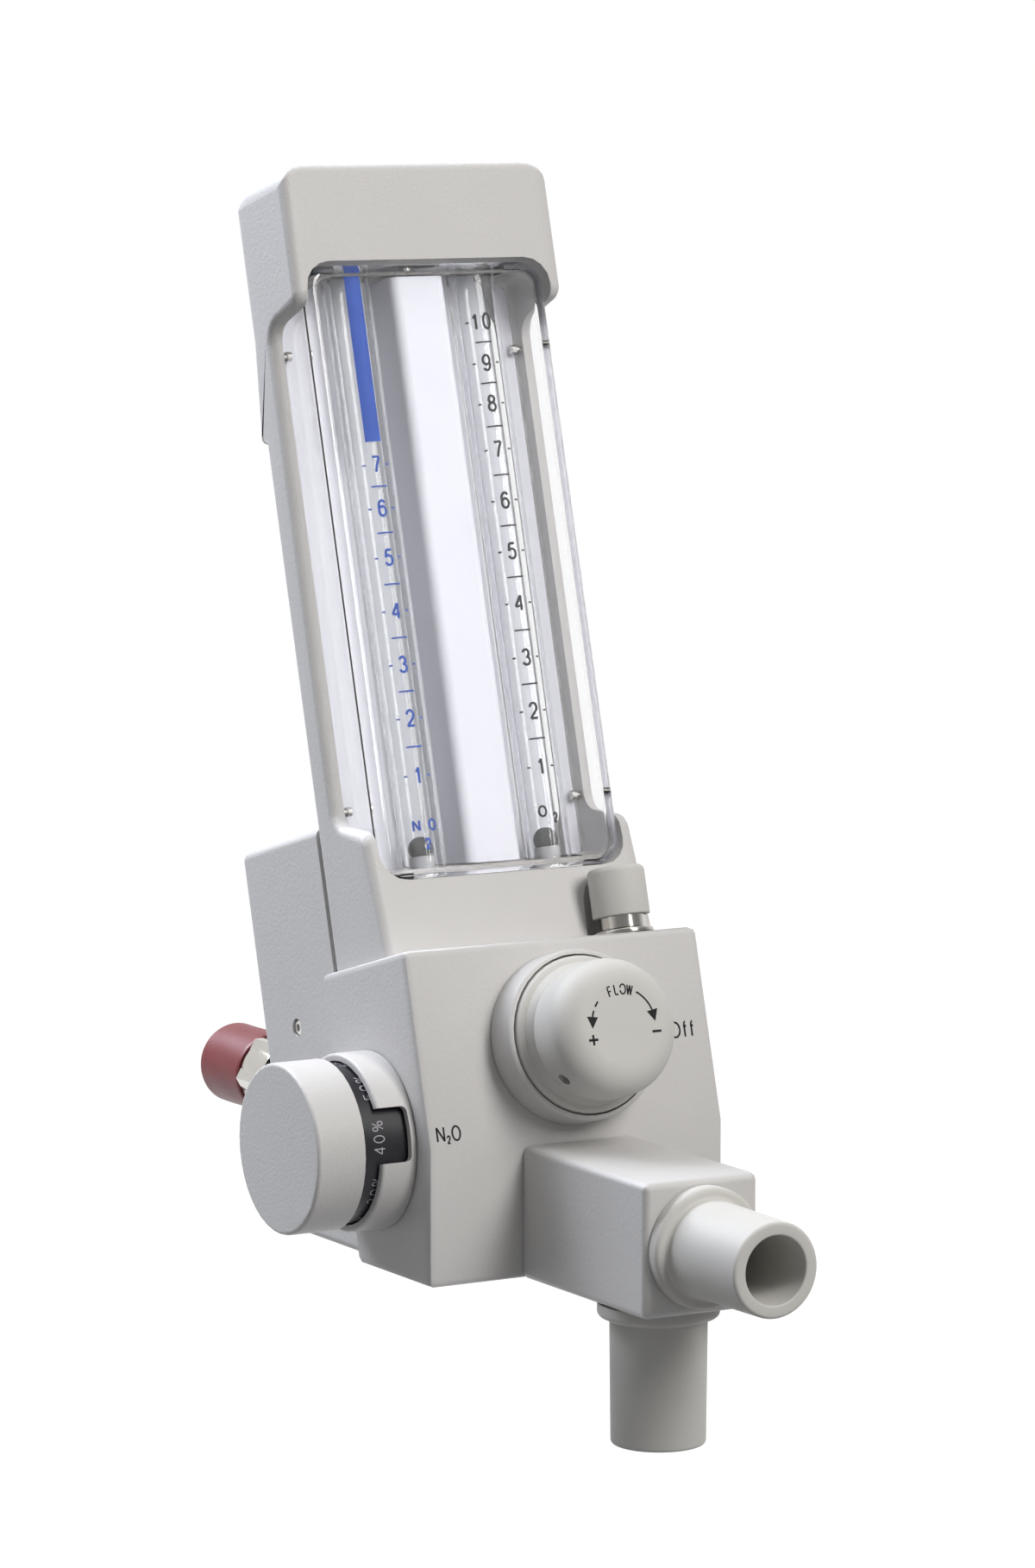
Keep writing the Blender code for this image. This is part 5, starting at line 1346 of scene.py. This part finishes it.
@dataclass
class Studio:
    """Pale floor, white surroundings, soft lamps and the camera.

    A tall front softbox draws its streak down the tubes, a wide one hangs above, and a
    strong one behind on the left rakes the left faces and leaves the tee's side in shade.
    """

    yaw: float = 30.1
    pitch: float = 7.1
    distance: float = 1.3772
    target: tuple[float, float, float] = (-16.4 * MM, 0.0, 115.1 * MM)
    focal_px: float = 7000.0
    image_height: float = 1818.0
    sensor: float = 36.0
    floor_drop: float = 0.3
    floor_reach: float = 30.0
    floor_colour: str = "#7E7E7E"
    floor_glow: float = 0.96
    sky_top: float = 0.4
    sky_foot: float = 0.04
    room: float = 0.3
    lamp_aim: tuple[float, float, float] = (0.0, -0.05, 0.03)
    softboxes: Sequence[Softbox] = (
        Softbox("front_softbox", (0.42, -1.55, 1.25), (0.5, 1.2), 29.0, "#FFFDFB"),
        Softbox("top_softbox", (0.3, -0.2, 1.75), (1.1, 1.1), 3.5, "#FFFFFF"),
        Softbox("left_softbox", (-0.42, 0.58, 0.82), (0.6, 0.6), 18.5, "#EEF3FF"),
    )

    def build(self) -> None:
        """Make the camera, the world, the floor and the lamps."""
        self.build_camera()
        self.build_world()
        self.build_floor()
        self.build_lamps()

    def build_camera(self) -> None:
        """Aim the camera at the photograph's angle, level, from the photograph's distance."""
        crease = STANCE.leaning(0.0, 0.0, 0.0)
        foot = Vector((0.0, crease[1], crease[2] - STANCE.block_drop))
        yaw, pitch = math.radians(self.yaw), math.radians(self.pitch)
        back = Vector(
            (-math.sin(yaw) * math.cos(pitch), -math.cos(yaw) * math.cos(pitch), math.sin(pitch))
        )
        data = bpy.data.cameras.new("studio_camera")
        data.sensor_fit = "AUTO"
        data.sensor_width = self.sensor
        data.lens = self.focal_px * self.sensor / self.image_height
        data.clip_end = 50.0
        camera = linked("studio_camera", data)
        camera.location = foot + Vector(self.target) + back * self.distance
        camera.rotation_mode = "QUATERNION"
        camera.rotation_quaternion = (-back).to_track_quat("-Z", "Y")
        bpy.context.scene.camera = camera

    def build_world(self) -> None:
        """White to the camera and through glass.  Gloss sees that white behind and beside
        the head, and a dimmer room in front of it; other light fades towards the floor."""
        world = bpy.data.worlds.new("studio_world")
        world.use_nodes = True
        bpy.context.scene.world = world
        tree = world.node_tree
        path = add_node(tree, "ShaderNodeLightPath")
        heading = add_node(tree, "ShaderNodeTexCoord").outputs["Generated"]
        split = add_node(tree, "ShaderNodeSeparateXYZ", {}, {"Vector": heading})
        backdrop = add_node(
            tree,
            "ShaderNodeMapRange",
            {"From Min": -0.55, "From Max": 0.25, "To Min": self.room, "To Max": 1.0},
            {"Value": split.outputs["Y"]},
        )
        backdrop.interpolation_type = "SMOOTHSTEP"
        camera, gloss = path.outputs["Is Camera Ray"], path.outputs["Is Glossy Ray"]
        plain = merge(tree, "MAXIMUM", camera, path.outputs["Is Transmission Ray"])
        white_level = merge(tree, "MAXIMUM", plain, backdrop.outputs["Result"])
        direct = merge(tree, "LESS_THAN", path.outputs["Diffuse Depth"], 0.5)
        seen = merge(tree, "MULTIPLY", merge(tree, "MAXIMUM", plain, gloss), direct)
        white = add_node(tree, "ShaderNodeBackground", {}, {"Strength": white_level})
        white.inputs["Color"].default_value = (1.0, 1.0, 1.0, 1.0)
        level = add_node(
            tree,
            "ShaderNodeMapRange",
            {"From Min": -0.3, "From Max": 0.9, "To Min": self.sky_foot, "To Max": self.sky_top},
            {"Value": split.outputs["Z"]},
        )
        light = tree.nodes["Background"]
        light.inputs["Color"].default_value = (0.97, 0.985, 1.0, 1.0)
        tree.links.new(level.outputs["Result"], light.inputs["Strength"])
        links = {0: seen, 1: light.outputs[0], 2: white.outputs[0]}
        mixed = add_node(tree, "ShaderNodeMixShader", {}, links)
        tree.links.new(mixed.outputs[0], tree.nodes["World Output"].inputs["Surface"])

    def build_floor(self) -> None:
        """A plain pale floor below the head, white to the camera but for soft shadow."""
        reach = self.floor_reach
        height = cad_box[0].z - self.floor_drop
        corners = [(-reach, -reach), (reach, -reach), (reach, reach), (-reach, reach)]
        mesh = bpy.data.meshes.new("studio_floor")
        mesh.from_pydata([(x, y, height) for x, y in corners], [], [(0, 1, 2, 3)])
        floor = linked("studio_floor", mesh)
        paint = Surface("painted_studio_floor")
        tree = paint.tree
        path = add_node(tree, "ShaderNodeLightPath")
        camera, gloss = path.outputs["Is Camera Ray"], path.outputs["Is Glossy Ray"]
        sharp = merge(tree, "MAXIMUM", camera, gloss)
        seen = merge(tree, "MAXIMUM", sharp, path.outputs["Is Transmission Ray"])
        white = add_node(tree, "ShaderNodeEmission", {"Strength": self.floor_glow})
        shader = paint.shader.outputs[0]
        both = add_node(tree, "ShaderNodeAddShader", {}, {0: shader, 1: white.outputs[0]})
        paint.mix_into(seen, shader, both.outputs[0])
        matt = {"Roughness": 0.9, "Specular IOR Level": 0.0}
        values = {"Base Color": linear(self.floor_colour)} | matt
        mesh.materials.append(paint.finished(values))

    def build_lamps(self) -> None:
        """Hang the softboxes, each turned towards the head."""
        for softbox in self.softboxes:
            data = bpy.data.lights.new(softbox.name, "AREA")
            data.shape = "RECTANGLE"
            data.size, data.size_y = softbox.size
            data.energy = softbox.power
            data.color = linear(softbox.colour)[:3]
            lamp = linked(softbox.name, data)
            lamp.location = softbox.spot
            aim = Vector(self.lamp_aim) - Vector(softbox.spot)
            lamp.rotation_mode = "QUATERNION"
            lamp.rotation_quaternion = aim.to_track_quat("-Z", "Y")


def rises(first: int, values: Sequence[float]) -> list[tuple[str, float]]:
    """Scale marks from the top: numbers counting down, each with its rise in millimetres."""
    return [(str(first - number), value * MM) for number, value in enumerate(values)]


def main() -> None:
    """Build the dressed head, piece by piece, and the studio round it."""
    logging.basicConfig(level=logging.INFO, format="%(name)s: %(message)s")
    bpy.context.scene.view_settings.view_transform = "Standard"
    CastAndMouldedCases().dress()
    tubes = (
        FlowTube(
            "n2o",
            Finish.BLUE_INK,
            rises(7, (163.2, 152.7, 140.9, 128.1, 115.3, 102.5, 88.9)),
            (
                ("N", -2.0 * MM, 0.0, 2.9 * MM),
                ("2", 0.3 * MM, 4.4 * MM, 2.8 * MM),
                ("O", 2.0 * MM, 0.0, 2.9 * MM),
            ),
            77.1 * MM,
            math.radians(-11.5),
            (168.7 * MM, 213.5 * MM),
        ),
        FlowTube(
            "o2",
            Finish.BLACK_INK,
            rises(10, (196.9, 186.8, 176.9, 165.7, 153.3, 141.0, 128.4, 115.3, 102.4, 89.0)),
            (("O", -1.1 * MM, 0.0, 2.9 * MM), ("2", 1.9 * MM, 1.7 * MM, 2.6 * MM)),
            78.3 * MM,
            math.radians(-17),
        ),
    )
    for tube in tubes:
        tube.build_tube()
        tube.build_ball()
        tube.build_scale()
    ClearTray().build()
    FlushButton().build()
    KnobPrint().build()
    BlockPrint().build()
    DialPrint().build()
    OutletPorts().build()
    GasInlet("n2o", -1, 18.4 * MM, 8.7 * MM).build()
    GasInlet("o2", 1, 17.5 * MM, 7.1 * MM).build()
    SocketScrews().build()
    Studio().build()


if __name__ == "__main__":
    main()
